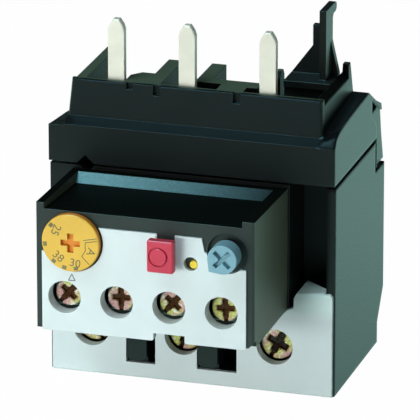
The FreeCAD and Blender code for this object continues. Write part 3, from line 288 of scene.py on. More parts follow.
def star_depth(u, v, reach, depth):
    """Depth of the four small ticks between the wings: a narrow groove on both diagonals."""
    p, q = (u + v) / math.sqrt(2.0), (u - v) / math.sqrt(2.0)
    nearest = np.minimum(np.abs(p), np.abs(q))
    groove = 1.0 - smooth_step((nearest - reach * TICK_WIDTH) / (reach * TICK_EASE))
    return depth * groove * (np.hypot(u, v) < reach)


def head_surface(x, y, z, radius, turn, sizes):
    """Domed head on a polar grid of rings by spokes: flat, then a quarter round of the rim's
    width that falls by the dome's fall, minus the deepest of cross, ticks and slot."""
    r = radius * np.linspace(0.0, 1.0, sizes.rings)[:, None]
    a = np.linspace(0.0, 2.0 * math.pi, sizes.spokes, endpoint=False)[None, :]
    u, v = r * np.cos(a), r * np.sin(a)
    cu = u * math.cos(turn) + v * math.sin(turn)
    cv = v * math.cos(turn) - u * math.sin(turn)
    rim = np.clip((r / radius - DOME_START) / (1.0 - DOME_START), 0.0, 1.0)
    height = -DOME_FALL * radius * (1.0 - np.sqrt(np.clip(1.0 - rim ** 2, 0.0, 1.0))) + 0.0 * a
    cross = cross_depth(cu, cv, radius * CROSS_REACH, radius * CROSS_WING, sizes.recess_depth)
    ticks = star_depth(cu, cv, radius * TICK_REACH, sizes.recess_depth * TICK_DEPTH)
    half = sizes.slot_width / 2.0
    slot = SLOT_DEPTH * (1.0 - smooth_step((np.abs(cu) - half) / (half * SLOT_EASE)))
    hollow = np.maximum(np.maximum(cross, ticks), slot)
    face = front_frame(x, y, z, u, v, height - hollow)
    return face, grid_faces(sizes.rings, sizes.spokes, wrap_v=True)


def turned_profile(x, y, z, radii, depths, spokes):
    """Surface of revolution about the front-to-back axis from radii at depths behind y."""
    r = np.asarray(radii)[:, None]
    w = -np.asarray(depths)[:, None]
    a = np.linspace(0.0, 2.0 * math.pi, spokes, endpoint=False)[None, :]
    points = front_frame(x, y, z, r * np.cos(a), r * np.sin(a), w + 0.0 * a)
    return points, grid_faces(len(radii), spokes, wrap_v=True)


def screw_row(node, radius, length, shank, turns, sizes):
    """Rounded heads with cross, ticks and slot on shanks whose radius goes up and down by the
    thread's depth, in the places of a node's solids."""
    low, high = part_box(node)
    first, last = low.x + radius, high.x - radius
    z = (low.z + high.z) / 2.0
    reach = high.y - low.y
    threads = np.linspace(length + THREAD_START, reach, THREAD_POINTS)
    wave = 1.0 - THREAD_DEPTH + THREAD_DEPTH * np.cos(np.arange(THREAD_POINTS) * math.pi)
    radii = np.concatenate([[radius, radius, shank], shank * wave, [0.0]])
    depths = np.concatenate([[DOME_FALL * radius, length, length], threads, [reach]])
    chunks = []
    for i, turn in enumerate(turns):
        x = first + (last - first) * i / (len(turns) - 1)
        chunks.append(head_surface(x, low.y, z, radius, turn, sizes))
        chunks.append(turned_profile(x, low.y, z, radii, depths, sizes.spokes))
    return mesh_piece(node + "_dress", chunks)


# ------------------------------------------------------------------ return springs

STEPS_PER_TURN, WIRE_SIDES = 28, 12
CLOSED_PITCH = 2.1              # pitch of the closed end turns, in wire radii


def coiled_wire(low, high, sizes):
    """Compression spring that fills a box along Y: a round wire on a helix, whose pitch is the
    wire's own thickness over the first and last turn, so that both ends close, and opens between
    them. Each ring of the wire lies on the helix's outward direction and across its tangent."""
    wire = sizes.wire_radius
    radius = (high.x - low.x) / 2.0 - wire
    turn = np.linspace(0.0, sizes.spring_turns, sizes.spring_turns * STEPS_PER_TURN + 1)
    opened = smooth_step(turn - 0.5) * smooth_step(sizes.spring_turns - 0.5 - turn)
    climb = np.concatenate([[0.0], np.cumsum((opened[1:] + opened[:-1]) / 2.0)])
    closed = CLOSED_PITCH * wire * turn
    spare = high.y - low.y - 2.0 * wire - closed[-1]
    y = low.y + wire + closed + spare * climb / climb[-1]
    angle = 2.0 * math.pi * turn
    outward = np.stack([np.cos(angle), np.zeros_like(angle), np.sin(angle)], -1)
    centre = np.stack([(low.x + high.x) / 2.0 + radius * np.cos(angle), y,
                       (low.z + high.z) / 2.0 + radius * np.sin(angle)], -1)
    tangent = np.gradient(centre, axis=0)
    across = np.cross(tangent, outward)
    across /= np.linalg.norm(across, axis=1, keepdims=True)
    thick = np.full(len(turn), wire)
    thick, centre, outward, across = (np.concatenate([part[:1], part, part[-1:]])
                                      for part in (thick, centre, outward, across))
    thick[[0, -1]] = 0.0
    around = np.linspace(0.0, 2.0 * math.pi, WIRE_SIDES, endpoint=False)
    ring = np.cos(around)[:, None] * outward[:, None] + np.sin(around)[:, None] * across[:, None]
    points = centre[:, None] + thick[:, None, None] * ring
    return points, grid_faces(len(centre), len(around), wrap_v=True)


# ------------------------------------------------------------------ print on dial and panel

# Places on the dial are (share of its radius, degrees): 0 to the right, 90 up.
DIAL_TICKS = (139, 186, 229, 256, 282)
DIAL_TICK_ENDS = (0.95, 0.825)
DIAL_TICK_WIDTH, SECTOR_WIDTH = 0.0009, 0.00016
SECTOR_RAYS = (((0.475, 18.0), (0.95, 15.5)), ((0.52, 8.0), (0.95, 10.0)))
SECTOR = ((0.52, 8.0), (0.56, -21.0), (0.585, -47.0), (0.95, -46.0))
# Text, its degrees and share of the radius, and how far it is turned
DIAL_LABELS = (("25", 140, 0.66, -112), ("38", 230, 0.66, -38), ("30", 283, 0.71, -8),
               ("A", -18.5, 0.745, -108))
# Painted shade: behind its face the dial is a deeper orange.
DIAL_SUNK, DIAL_SUNK_SOFT = 0.00030, 0.00015    # how far behind its face the dial is deeper
# Setting triangle, from the middle of the dial's lower edge
POINTER_RIGHT, POINTER_DOWN = -0.00015, 0.00165
POINTER_HALF, POINTER_TIP, POINTER_BASE = 0.0007, 0.0007, 0.00065
POINTER_WIDTH = 0.00018
LINE_POINTS = 8
TEXT_SIZE = 1.4                 # font size over the height of its numerals
TEXT_RESOLUTION = 4


def ribbon(points, width, y, thickness):
    """Flat strip of even width along a line of (x, z) points, lifted from the face at y."""
    p = np.asarray(points, float)
    along = np.gradient(p, axis=0)
    along /= np.linalg.norm(along, axis=1, keepdims=True)
    side = np.stack([-along[:, 1], along[:, 0]], -1) * width / 2.0
    low, high = p - side, p + side
    ring = np.stack([low, high, high, low], 1)
    depth = np.array([y - thickness, y - thickness, y + thickness, y + thickness])
    grid = np.stack([ring[..., 0], np.broadcast_to(depth, ring.shape[:2]), ring[..., 1]], -1)
    ends = np.array([[0, 1, 2, 3]])
    last = (len(p) - 1) * 4
    return grid, np.concatenate([grid_faces(len(p), 4, wrap_v=True), ends, ends + last])


def polar(x, z, radius, degrees):
    """Point at an angle round (x, z): 0 to the right, 90 up."""
    a = math.radians(degrees)
    return (x + radius * math.cos(a), z + radius * math.sin(a))


def line(start, end):
    """Evenly spaced points from start to end."""
    t = np.linspace(0.0, 1.0, LINE_POINTS)[:, None]
    return np.asarray(start) * (1.0 - t) + np.asarray(end) * t


def printed_text(name, text, x, y, z, degrees, sizes):
    """Numerals on the dial, laid on the front and turned, then made a mesh."""
    curve = bpy.data.curves.new(name, "FONT")
    curve.body = text
    curve.size = sizes.numeral_height * TEXT_SIZE
    curve.align_x, curve.align_y = "CENTER", "CENTER"
    curve.extrude = sizes.print_height
    curve.resolution_u = TEXT_RESOLUTION
    holder = bpy.data.objects.new(name + "_font", curve)
    mesh = bpy.data.meshes.new_from_object(holder)
    bpy.data.objects.remove(holder)
    stand = Matrix.Rotation(math.radians(90), 4, "X")
    turn = Matrix.Rotation(math.radians(degrees), 4, "Y").inverted()
    mesh.transform(Matrix.Translation((x, y, z)) @ turn @ stand)
    return linked(name, mesh)


# ------------------------------------------------------------------ shader nodes

NOISE_ROUGHNESS = 0.55
EDGE_SAMPLES, CORNER_SAMPLES = 6, 8


def new_tree(owner):
    """Empty node tree of a material or world."""
    owner.use_nodes = True
    owner.node_tree.nodes.clear()
    return owner.node_tree


def object_coords(tree, scale=(1.0, 1.0, 1.0)):
    """Object coordinates in metres, stretched by scale."""
    coord = tree.nodes.new("ShaderNodeTexCoord")
    mapping = tree.nodes.new("ShaderNodeMapping")
    mapping.inputs["Scale"].default_value = scale
    tree.links.new(coord.outputs["Object"], mapping.inputs["Vector"])
    return mapping.outputs["Vector"]


def split_xyz(tree, vector):
    """The three numbers of a vector, as sockets named X, Y and Z."""
    split = tree.nodes.new("ShaderNodeSeparateXYZ")
    tree.links.new(vector, split.inputs["Vector"])
    return split.outputs


def noise(tree, vector, scale, detail):
    """Noise of that many lumps to the metre, about one half."""
    node = tree.nodes.new("ShaderNodeTexNoise")
    node.inputs["Scale"].default_value = scale
    node.inputs["Detail"].default_value = detail
    node.inputs["Roughness"].default_value = NOISE_ROUGHNESS
    tree.links.new(vector, node.inputs["Vector"])
    return node.outputs["Fac"]


def remap(tree, value, low, high, to_low, to_high):
    """Value moved from one range to another, clamped."""
    node = tree.nodes.new("ShaderNodeMapRange")
    node.inputs["From Min"].default_value = low
    node.inputs["From Max"].default_value = high
    node.inputs["To Min"].default_value = to_low
    node.inputs["To Max"].default_value = to_high
    tree.links.new(value, node.inputs["Value"])
    return node.outputs["Result"]


def blend(tree, factor, under, colour):
    """Colour laid over another by factor; under is a colour or a socket."""
    node = tree.nodes.new("ShaderNodeMix")
    node.data_type = "RGBA"
    first, second = (named(node.inputs, key) for key in ("A_Color", "B_Color"))
    if isinstance(under, bpy.types.NodeSocket):
        tree.links.new(under, first)
    else:
        first.default_value = (*under, 1.0)
    second.default_value = (*colour, 1.0)
    tree.links.new(factor, node.inputs["Factor"])
    return named(node.outputs, "Result_Color")


def named(sockets, identifier):
    """The socket with that identifier; a mix node's sockets share their names."""
    return next(socket for socket in sockets if socket.identifier == identifier)


def level_mix(tree, factor, under, level):
    """Number that goes from under to level by factor; under is a number or a socket."""
    node = tree.nodes.new("ShaderNodeMix")
    if isinstance(under, bpy.types.NodeSocket):
        tree.links.new(under, node.inputs["A"])
    else:
        node.inputs["A"].default_value = under
    node.inputs["B"].default_value = level
    tree.links.new(factor, node.inputs["Factor"])
    return node.outputs["Result"]


def product(tree, first, second):
    """First mask times second mask."""
    node = tree.nodes.new("ShaderNodeMath")
    node.operation = "MULTIPLY"
    tree.links.new(first, node.inputs[0])
    tree.links.new(second, node.inputs[1])
    return node.outputs["Value"]


def mix_shader(tree, factor, first, second):
    """Shader that goes from first to second by factor."""
    node = tree.nodes.new("ShaderNodeMixShader")
    tree.links.new(factor, node.inputs["Fac"])
    tree.links.new(first, node.inputs[1])
    tree.links.new(second, node.inputs[2])
    return node.outputs["Shader"]


def within(tree, low, high, soft=0.0003):
    """Mask of a box in Object coordinates, with soft sides; None leaves a side open."""
    place = split_xyz(tree, object_coords(tree))
    mask = None
    for axis, start, end in zip("XYZ", low, high):
        for bound, half in ((start, soft), (end, -soft)):
            if bound is None:
                continue
            side = remap(tree, place[axis], bound - half, bound + half, 0.0, 1.0)
            mask = side if mask is None else product(tree, mask, side)
    return mask


def facing(tree, axis, low, high):
    """Mask of surfaces whose true normal leans along an axis: from low, full from high on."""
    geometry = tree.nodes.new("ShaderNodeNewGeometry")
    lean = split_xyz(tree, geometry.outputs["True Normal"])
    return remap(tree, lean[axis], low, high, 0.0, 1.0)


def soft_corner(tree, start, end, small, large):
    """Normal rounded by a small radius, and by a large one past an X in Object coordinates."""
    bevel = tree.nodes.new("ShaderNodeBevel")
    bevel.samples = CORNER_SAMPLES
    place = split_xyz(tree, object_coords(tree))
    tree.links.new(remap(tree, place["X"], start, end, small, large), bevel.inputs["Radius"])
    return bevel.outputs["Normal"]


def edge_mask(tree, radius, gain):
    """1 along sharp edges: how far the rounded normal leans from the true one."""
    bevel = tree.nodes.new("ShaderNodeBevel")
    bevel.samples = EDGE_SAMPLES
    bevel.inputs["Radius"].default_value = radius
    geometry = tree.nodes.new("ShaderNodeNewGeometry")
    dot = tree.nodes.new("ShaderNodeVectorMath")
    dot.operation = "DOT_PRODUCT"
    tree.links.new(bevel.outputs["Normal"], dot.inputs[0])
    tree.links.new(geometry.outputs["True Normal"], dot.inputs[1])
    return remap(tree, dot.outputs["Value"], 1.0, 1.0 - gain, 0.0, 1.0), bevel.outputs["Normal"]


# ------------------------------------------------------------------ finishes

CLOUD_LUMPS, GRAIN_LUMPS, DRAWN_LUMPS, GLINT_LUMPS = 90.0, 2600.0, 1500.0, 900.0  # to the metre
CLOUD_SPREAD, PATCH_SPREAD, GRAIN_SPREAD = 0.15, 0.12, 0.20     # of a noise about one half
GRAIN_HEIGHT = 0.00001
SPECULAR = 0.5

# Place where a finish differs: a function of a node tree that makes a mask, the colour there and,
# where it differs too, the specular level.
Zone = namedtuple("Zone", "mask colour specular", defaults=(None,))
OPEN = (None, None, None)


def lay_zones(tree, shader, colour, zones):
    """Gives the shader a colour with each zone's colour laid over it, and the specular levels of
    the zones that have their own."""
    shader.inputs["Specular IOR Level"].default_value = SPECULAR
    level = SPECULAR
    for zone in zones:
        mask = zone.mask(tree)
        colour = blend(tree, mask, colour, zone.colour)
        if zone.specular is not None:
            level = level_mix(tree, mask, level, zone.specular)
            tree.links.new(level, shader.inputs["Specular IOR Level"])
    tree.links.new(colour, shader.inputs["Base Color"])


def grain_over(tree, shader, grain, rounded, low, high, strength):
    """Roughness from low to high and a fine bump, both from one grain, on the rounded normal."""
    tree.links.new(remap(tree, grain, 0.5 - GRAIN_SPREAD, 0.5 + GRAIN_SPREAD, low, high),
                   shader.inputs["Roughness"])
    bump = tree.nodes.new("ShaderNodeBump")
    bump.inputs["Strength"].default_value = strength
    bump.inputs["Distance"].default_value = GRAIN_HEIGHT
    tree.links.new(grain, bump.inputs["Height"])
    tree.links.new(rounded, bump.inputs["Normal"])
    tree.links.new(bump.outputs["Normal"], shader.inputs["Normal"])


def two_tones(tree, lumps, spread, first, second):
    """First and second colour in soft patches."""
    patches = remap(tree, lumps, 0.5 - spread, 0.5 + spread, 0.0, 1.0)
    return blend(tree, patches, first, second)


def new_material(name):
    """Material with only a surface shader and its output."""
    mat = bpy.data.materials.new(name)
    tree = new_tree(mat)
    out = tree.nodes.new("ShaderNodeOutputMaterial")
    shader = tree.nodes.new("ShaderNodeBsdfPrincipled")
    tree.links.new(shader.outputs["BSDF"], out.inputs["Surface"])
    return mat, tree, shader


def scaled(colour, factor):
    """Colour made lighter or darker, kept under 1."""
    return tuple(min(1.0, c * factor) for c in colour)


def moulded(name, colour, edge_radius, roughness, mottle=0.12, highlight_lift=1.6, zones=(),
            corner=None):
    """Moulded plastic: fine spark-erosion grain, faint cloudiness and sharp edges painted lighter
    as a painted highlight.
    Corner is the X past which the edges look rounder, and how round."""
    mat, tree, shader = new_material(name)
    vector = object_coords(tree)
    cloud = noise(tree, vector, CLOUD_LUMPS, detail=4.0)
    fine = noise(tree, vector, GRAIN_LUMPS, detail=2.0)
    edge_highlight, rounded = edge_mask(tree, edge_radius, gain=0.25)
    if corner:
        rounded = soft_corner(tree, corner[0], corner[0] + MM, edge_radius, corner[1])
    shade = two_tones(tree, cloud, CLOUD_SPREAD, scaled(colour, 1.0 - mottle),
                      scaled(colour, 1.0 + mottle))
    # Painted highlight: the colour is made lighter along sharp edges, where the edge mask is 1.
    lay_zones(tree, shader, blend(tree, edge_highlight, shade, scaled(colour, highlight_lift)), zones)
    grain_over(tree, shader, fine, rounded, low=roughness - 0.05, high=roughness + 0.06,
               strength=0.35)
    return mat


def metal(name, colour, second, edge_radius, roughness, stretch=(1.0, 1.0, 1.0), patch=220.0,
          metallic=1.0, zones=()):
    """Plated or rolled metal: two tones in soft patches, so many to the metre, and a grain
    drawn along the axis that is stretched least."""
    mat, tree, shader = new_material(name)
    shader.inputs["Metallic"].default_value = metallic
    drawn = noise(tree, object_coords(tree, stretch), DRAWN_LUMPS, detail=3.0)
    patches = noise(tree, object_coords(tree), patch, detail=2.0)
    rounded = edge_mask(tree, edge_radius, gain=0.3)[1]
    lay_zones(tree, shader, two_tones(tree, patches, PATCH_SPREAD, colour, second), zones)
    grain_over(tree, shader, drawn, rounded, low=roughness - 0.08, high=roughness + 0.1,
               strength=0.4)
    return mat


def dress(material, *names):
    """Gives a material to CAD nodes whose names start with any of the names."""
    for node, obj in NODES.items():
        if node.startswith(tuple(names)):
            obj.data.materials.clear()
            obj.data.materials.append(material)


# ------------------------------------------------------------------ zones

DECK_LEVEL = 0.0502             # just over the floor of the wells in the block
BLOCK_INSET = 0.0036            # from the housing's sides to just inside those of the block
ROOM_LEAD = 0.0012              # the room behind the block's front wall begins before the blades
# A noise above the start is a painted glint; full ones have this share of the near-white glint
# colour.
GLINT_START, GLINT_FULL, GLINT_SHARE = 0.56, 0.66, 0.7
# Behind their face the screw heads are painted shade.
HEAD_SUNK, HEAD_SOFT = 0.00032, 0.00014     # how far behind its face a screw head is dark
LUG_HEIGHT, LUG_SOFT = 0.0045, 0.0015       # below the lug's top


def deck_zones():
    """The up-facing ledges before the blades are painted darker and dull as painted shade; inside
    the block all is painted darker and dull as painted shade, and the tops of walls and ribs are
    painted a lighter olive as painted light."""
    low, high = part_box("upper_housing")
    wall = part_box("contact_blade_1")[0].y - ROOM_LEAD
    room = (low.x + BLOCK_INSET, wall, DECK_LEVEL), (high.x - BLOCK_INSET, None, None)
    ledge = (low.x - MM, low.y - MM, DECK_LEVEL), (high.x + MM, wall, None)
    return (
        # Painted shade: up-facing ledges in front of the blades are darker and dull.
        Zone(lambda tree: product(tree, within(tree, *ledge), facing(tree, "Z", 0.30, 0.50)),
             colour=(0.0040, 0.0052, 0.0060), specular=0.10),
        # Painted shade: everything inside the block is darker and dull.
        Zone(lambda tree: within(tree, *room), colour=(0.0035, 0.0042, 0.0030), specular=0.03),
        # Painted light: up-facing tops inside the block are a lighter olive.
        Zone(lambda tree: product(tree, within(tree, *room), facing(tree, "Z", 0.75, 0.95)),
             colour=(0.080, 0.120, 0.082), specular=0.15),
    )


def chromate_zones(face, recess):
    """Painted glints as fine near-white specks, and painted shade in the recess colour behind the
    head's face.
    """
    def glint_flecks(tree):
        grain = noise(tree, object_coords(tree), GLINT_LUMPS, detail=2.0)
        return remap(tree, grain, GLINT_START, GLINT_FULL, 0.0, GLINT_SHARE)
    return (
        # Painted highlight: near-white specks stand in for glints on the heads.
        Zone(glint_flecks, colour=(0.98, 0.94, 0.86)),
        # Painted shade: all behind the head's face, in cross, ticks and slot, takes the dark
        # recess colour.
        Zone(lambda tree: within(tree, (None, face + HEAD_SUNK, None), OPEN, HEAD_SOFT),
             colour=recess),
    )


def dial_zones():
    """What lies behind the dial's face, the rim's side and the hollows of the cross, is painted a
    deeper orange: painted shade.
    """
    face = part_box("current_dial")[0].y + DIAL_SUNK
    return (Zone(lambda tree: within(tree, (None, face, None), OPEN, DIAL_SUNK_SOFT),
                 colour=(0.70, 0.24, 0.012)),)


def lug_zones():
    """The cover is painted paler above a height under its top, over the raised lug: painted light.
    """
    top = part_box("terminal_cover")[1].z
    # Painted light: paler within the lug's height under the cover's top.
    return (Zone(lambda tree: within(tree, (None, None, top - LUG_HEIGHT), OPEN, LUG_SOFT),
                 colour=(0.76, 0.93, 0.88)),)


def box_zones():
    """The control box's top is painted deep black and dull as painted shade, its right side
    painted lighter as painted light, and the bevel at the back painted darker and dull from left
    to right as painted shade."""
    low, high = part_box("control_box")
    middle = ((low.x + high.x) / 2.0, None, None)

    # Painted shade: the back bevel grows darker and duller from left to right, where its
    # reflection fades.
    def bevel_painted_shade(tree):
        rightward = within(tree, middle, OPEN, (high.x - low.x) / 2.0)
        return product(tree, rightward, facing(tree, "Z", 0.20, 0.40))
    return (
        Zone(bevel_painted_shade, colour=(0.0040, 0.0052, 0.0050), specular=0.0),
        # Painted shade: faces turned up are painted deeper black and dull.
        Zone(lambda tree: facing(tree, "Z", 0.85, 0.97), colour=(0.0030, 0.0042, 0.0036),
             specular=0.02),
        # Painted light: faces turned to the right are painted lighter than the rest of the box.
        Zone(lambda tree: facing(tree, "X", 0.75, 0.95), colour=(0.105, 0.125, 0.085),
             specular=0.3),
    )


# ------------------------------------------------------------------ operators

CORNER_START = 0.0042           # from the right end, where the rounder look begins


class RELAY_OT_mouldings(bpy.types.Operator):
    """Finish the black housings, grey cover and panel, and the latch hook"""
    bl_idname = "relay.mouldings"
    bl_label = "Mouldings"

    def execute(self, context):
        c, s = context.scene.relay_colours, context.scene.relay_sizes
        edge = s.edge_radius
        corner = (CAD_HIGH.x - CORNER_START, s.corner_radius)
        # The lift along the edges in each finish below is a painted highlight.
        dress(moulded("satin_black", c.black, edge, roughness=0.42, highlight_lift=2.6,
                      corner=corner), "lower_housing")
        dress(moulded("capped_black", c.black, edge, roughness=0.42, highlight_lift=2.6,
                      zones=deck_zones(), corner=corner), "upper_housing")
        dress(moulded("box_black", c.box_side, edge, roughness=0.42, highlight_lift=1.5,
                      zones=box_zones()), "control_box")
        dress(moulded("light_grey", c.grey, edge, roughness=0.5, mottle=0.03,
                      highlight_lift=1.08), "front_panel")
        dress(moulded("cover_grey", c.grey, edge, roughness=0.5, mottle=0.03,
                      highlight_lift=1.08, zones=lug_zones()), "terminal_cover")
        dress(moulded("latch_black", c.latch, edge, roughness=0.45, highlight_lift=2.0),
              "latch_hook")
        dress(moulded("natural_white", c.white, edge, roughness=0.5, mottle=0.04,
                      highlight_lift=1.05), *WHITE_NODES)
        return {"FINISHED"}


class RELAY_OT_screws(bpy.types.Operator):
    """Build the combination heads of the main and auxiliary screws"""
    bl_idname = "relay.screws"
    bl_label = "Terminal screws"

    def execute(self, context):
        c, s = context.scene.relay_colours, context.scene.relay_sizes
        for node, radius, length, shank, turns, recess in SCREW_ROWS:
            zones = chromate_zones(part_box(node)[0].y, recess)
            finish = metal(node + "_chromate", c.chromate, c.bloom, s.edge_radius,
                           roughness=0.26, patch=330.0, metallic=0.3, zones=zones)
            piece = screw_row(node, radius, length, shank, turns, s)
            piece.data.materials.append(finish)
            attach(piece, "housing")
            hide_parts(node)
        return {"FINISHED"}


class RELAY_OT_dial(bpy.types.Operator):
    """Finish the current dial and print its ticks, numbers and sector"""
    bl_idname = "relay.dial"
    bl_label = "Current dial"

    def execute(self, context):
        c, s = context.scene.relay_colours, context.scene.relay_sizes
        dress(moulded("dial_yellow", c.dial, s.edge_radius, roughness=0.4, mottle=0.04,
                      highlight_lift=1.1, zones=dial_zones()), "current_dial")
        ink = moulded("print_ink", c.ink, s.edge_radius, roughness=0.55, mottle=0.2, highlight_lift=1.0)
        low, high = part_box("current_dial")
        x, z, radius = (low.x + high.x) / 2, (low.z + high.z) / 2, (high.x - low.x) / 2

        def strip(start, end, width):
            ends = [polar(x, z, radius * reach, degrees) for reach, degrees in (start, end)]
            return ribbon(line(*ends), width, low.y, s.print_height)
        outer, inner = DIAL_TICK_ENDS
        chunks = [strip((outer, degrees), (inner, degrees), DIAL_TICK_WIDTH)
                  for degrees in DIAL_TICKS]
        chunks += [strip(start, end, SECTOR_WIDTH)
                   for start, end in (*SECTOR_RAYS, *zip(SECTOR[:-1], SECTOR[1:]))]
        pieces = [mesh_piece("dial_marks", chunks, smooth=False)]
        for text, degrees, reach, turn in DIAL_LABELS:
            px, pz = polar(x, z, radius * reach, degrees)
            pieces.append(printed_text("dial_number_" + text, text, px, low.y, pz, turn, s))
        for piece in pieces:
            piece.data.materials.append(ink)
            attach(piece, "dial")
        return {"FINISHED"}


class RELAY_OT_pointer(bpy.types.Operator):
    """Print the small setting triangle on the panel below the dial"""
    bl_idname = "relay.pointer"
    bl_label = "Panel pointer"

    def execute(self, context):
        c, s = context.scene.relay_colours, context.scene.relay_sizes
        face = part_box("front_panel")[0].y
        low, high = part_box("current_dial")
        x, z = (low.x + high.x) / 2 + POINTER_RIGHT, low.z - POINTER_DOWN
        corners = ((x, z + POINTER_TIP), (x - POINTER_HALF, z - POINTER_BASE),
                   (x + POINTER_HALF, z - POINTER_BASE))
        chunks = [ribbon(line(start, end), POINTER_WIDTH, face, s.print_height)
                  for start, end in zip(corners, corners[1:] + corners[:1])]
        mark = mesh_piece("panel_pointer", chunks, smooth=False)
        mark.data.materials.append(moulded("panel_ink", c.panel_ink, s.edge_radius, roughness=0.55,
                                           mottle=0.2, highlight_lift=1.0))
        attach(mark, "housing")
        return {"FINISHED"}


class RELAY_OT_buttons(bpy.types.Operator):
    """Finish the red button, blue knob and yellow flag"""
    bl_idname = "relay.buttons"
    bl_label = "Buttons and flag"

    def execute(self, context):
        c, s = context.scene.relay_colours, context.scene.relay_sizes
        edge = s.edge_radius
        dress(moulded("button_red", c.red, edge, roughness=0.36, mottle=0.06, highlight_lift=1.25),
              "test_off_button")
        dress(moulded("knob_blue", c.blue, edge, roughness=0.4, mottle=0.05, highlight_lift=1.25),
              "reset_knob", "reset_plunger")
        dress(moulded("flag_yellow", c.flag, edge, roughness=0.4, mottle=0.04, highlight_lift=1.1),
              "trip_flag")
        return {"FINISHED"}


class RELAY_OT_metals(bpy.types.Operator):
    """Finish the blades, clamps, bars, bimetals and heaters"""
    bl_idname = "relay.metals"
    bl_label = "Metal parts"

    def execute(self, context):
        c, s = context.scene.relay_colours, context.scene.relay_sizes
        edge = s.edge_radius
        dress(metal("matt_tin", c.tin, scaled(c.tin, 0.93), edge, roughness=0.50,
                    stretch=(6.0, 6.0, 1.0), metallic=0.15), "contact_blade_")
        dress(metal("rolled_brass", c.brass, scaled(c.brass, 0.85), edge, roughness=0.32,
                    stretch=(6.0, 1.0, 6.0)), *BRASS_NODES)
        dress(metal("zinc_plate", c.zinc, scaled(c.zinc, 0.9), edge, roughness=0.35),
              *ZINC_NODES)
        dress(metal("bimetal_strip", c.bimetal, c.bimetal_dark, edge, roughness=0.38,
                    stretch=(6.0, 6.0, 1.0)), *BIMETAL_NODES)
        dress(metal("heater_ribbon", c.heater, c.heater_pale, edge, roughness=0.45),
              "heater_winding_")
        return {"FINISHED"}


class RELAY_OT_springs(bpy.types.Operator):
    """Wind the two return springs"""
    bl_idname = "relay.springs"
    bl_label = "Return springs"

    def execute(self, context):
        c, s = context.scene.relay_colours, context.scene.relay_sizes
        wire = metal("spring_wire", c.spring, c.spring_dark, s.edge_radius, roughness=0.28)
        for joint, travel, node, fixed_end in SPRINGS:
            low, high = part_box(node)
            spring = mesh_piece(node + "_wound", [coiled_wire(low, high, s)])
            spring.data.materials.append(wire)
            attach(spring, "housing")
            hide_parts(node)
            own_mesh(spring)
        return {"FINISHED"}


class RELAY_OT_stage(bpy.types.Operator):
    """Set the floor, lamps, surround and camera"""
    bl_idname = "relay.stage"
    bl_label = "Stage"

    def execute(self, context):
        st = context.scene.relay_stage
        paper_floor()
        lamps(st)
        surround(context.scene, st)
        camera(context.scene, st)
        context.scene.view_settings.view_transform = "Standard"
        return {"FINISHED"}


# ------------------------------------------------------------------ stage

PAPER_HALF, PAPER_POINTS = 3.0, 7
PAPER_COLOUR = (0.84, 0.85, 0.85)
PAPER_SEEN = 0.985              # how much of its own white the camera sees
PAPER_GLOSS = (0.78, 1.40, 1.26)
GLOSS_DIM = 0.29                # strength in gloss where the paper runs out in front
GLOSS_FRONT, GLOSS_BACK = -0.12, 0.10
ROOM_TINT = (0.72, 1.05, 1.12)
ROOM_LOW, ROOM_HIGH = 0.40, 0.85        # how steeply up the room goes from dim to bright
AIM = (0.0, 0.0, 0.035)
FOOT_AIM = (0.0, -0.04, 0.02)
FRONT_FOOT = (0.0, -0.017, 0.0)
SENSOR = 36.0                   # millimetres


def seen_by(tree, ray, level=1.0):
    """A number that is level for that kind of ray and 0 for all others."""
    path = tree.nodes.new("ShaderNodeLightPath")
    return remap(tree, path.outputs[ray], 0.0, 1.0, 0.0, level)


def glow(tree, colour):
    """Emission node of a colour."""
    node = tree.nodes.new("ShaderNodeEmission")
    node.inputs["Color"].default_value = (*colour, 1.0)
    return node


def backdrop(tree, colour):
    """Background node of a colour."""
    node = tree.nodes.new("ShaderNodeBackground")
    node.inputs["Color"].default_value = (*colour, 1.0)
    return node


def paper_material(name):
    """White paper: matt for light that falls on it, nearly white when looked at, and in gloss
    bright behind the part but dim in front of it, where the paper runs out."""
    mat = bpy.data.materials.new(name)
    mat.cycles.emission_sampling = "NONE"
    tree = new_tree(mat)
    out = tree.nodes.new("ShaderNodeOutputMaterial")
    matt = tree.nodes.new("ShaderNodeBsdfDiffuse")
    matt.inputs["Color"].default_value = (*PAPER_COLOUR, 1.0)
    white = glow(tree, (1.0, 1.0, 1.0))
    paper = mix_shader(tree, seen_by(tree, "Is Camera Ray", PAPER_SEEN),
                       matt.outputs["BSDF"], white.outputs["Emission"])
    gloss = glow(tree, PAPER_GLOSS)
    place = split_xyz(tree, object_coords(tree))
    tree.links.new(remap(tree, place["Y"], GLOSS_FRONT, GLOSS_BACK, GLOSS_DIM, 1.0),
                   gloss.inputs["Strength"])
    surface = mix_shader(tree, seen_by(tree, "Is Glossy Ray"), paper, gloss.outputs["Emission"])
    tree.links.new(surface, out.inputs["Surface"])
    return mat


def paper_floor():
    """Flat sheet of white paper that the part stands on."""
    side = np.linspace(-PAPER_HALF, PAPER_HALF, PAPER_POINTS)
    x, y = np.meshgrid(side, side, indexing="ij")
    grid = np.stack([x, y, np.zeros_like(x)], -1)
    sheet = mesh_piece("studio_paper", [(grid, grid_faces(PAPER_POINTS, PAPER_POINTS))])
    sheet.data.materials.append(paper_material("white_paper"))


def lamp(name, place, aim, size, power, colour, matt=True, gloss=True):
    """Square soft lamp at place that looks at aim, for matt surfaces, for gloss or for both."""
    data = bpy.data.lights.new(name, "AREA")
    data.shape = "SQUARE"
    data.size = size
    data.energy = power
    data.color = colour
    obj = linked(name, data)
    obj.location = place
    obj.rotation_mode = "QUATERNION"
    obj.rotation_quaternion = (Vector(aim) - Vector(place)).to_track_quat("-Z", "Y")
    obj.visible_camera, obj.visible_diffuse, obj.visible_glossy = False, matt, gloss


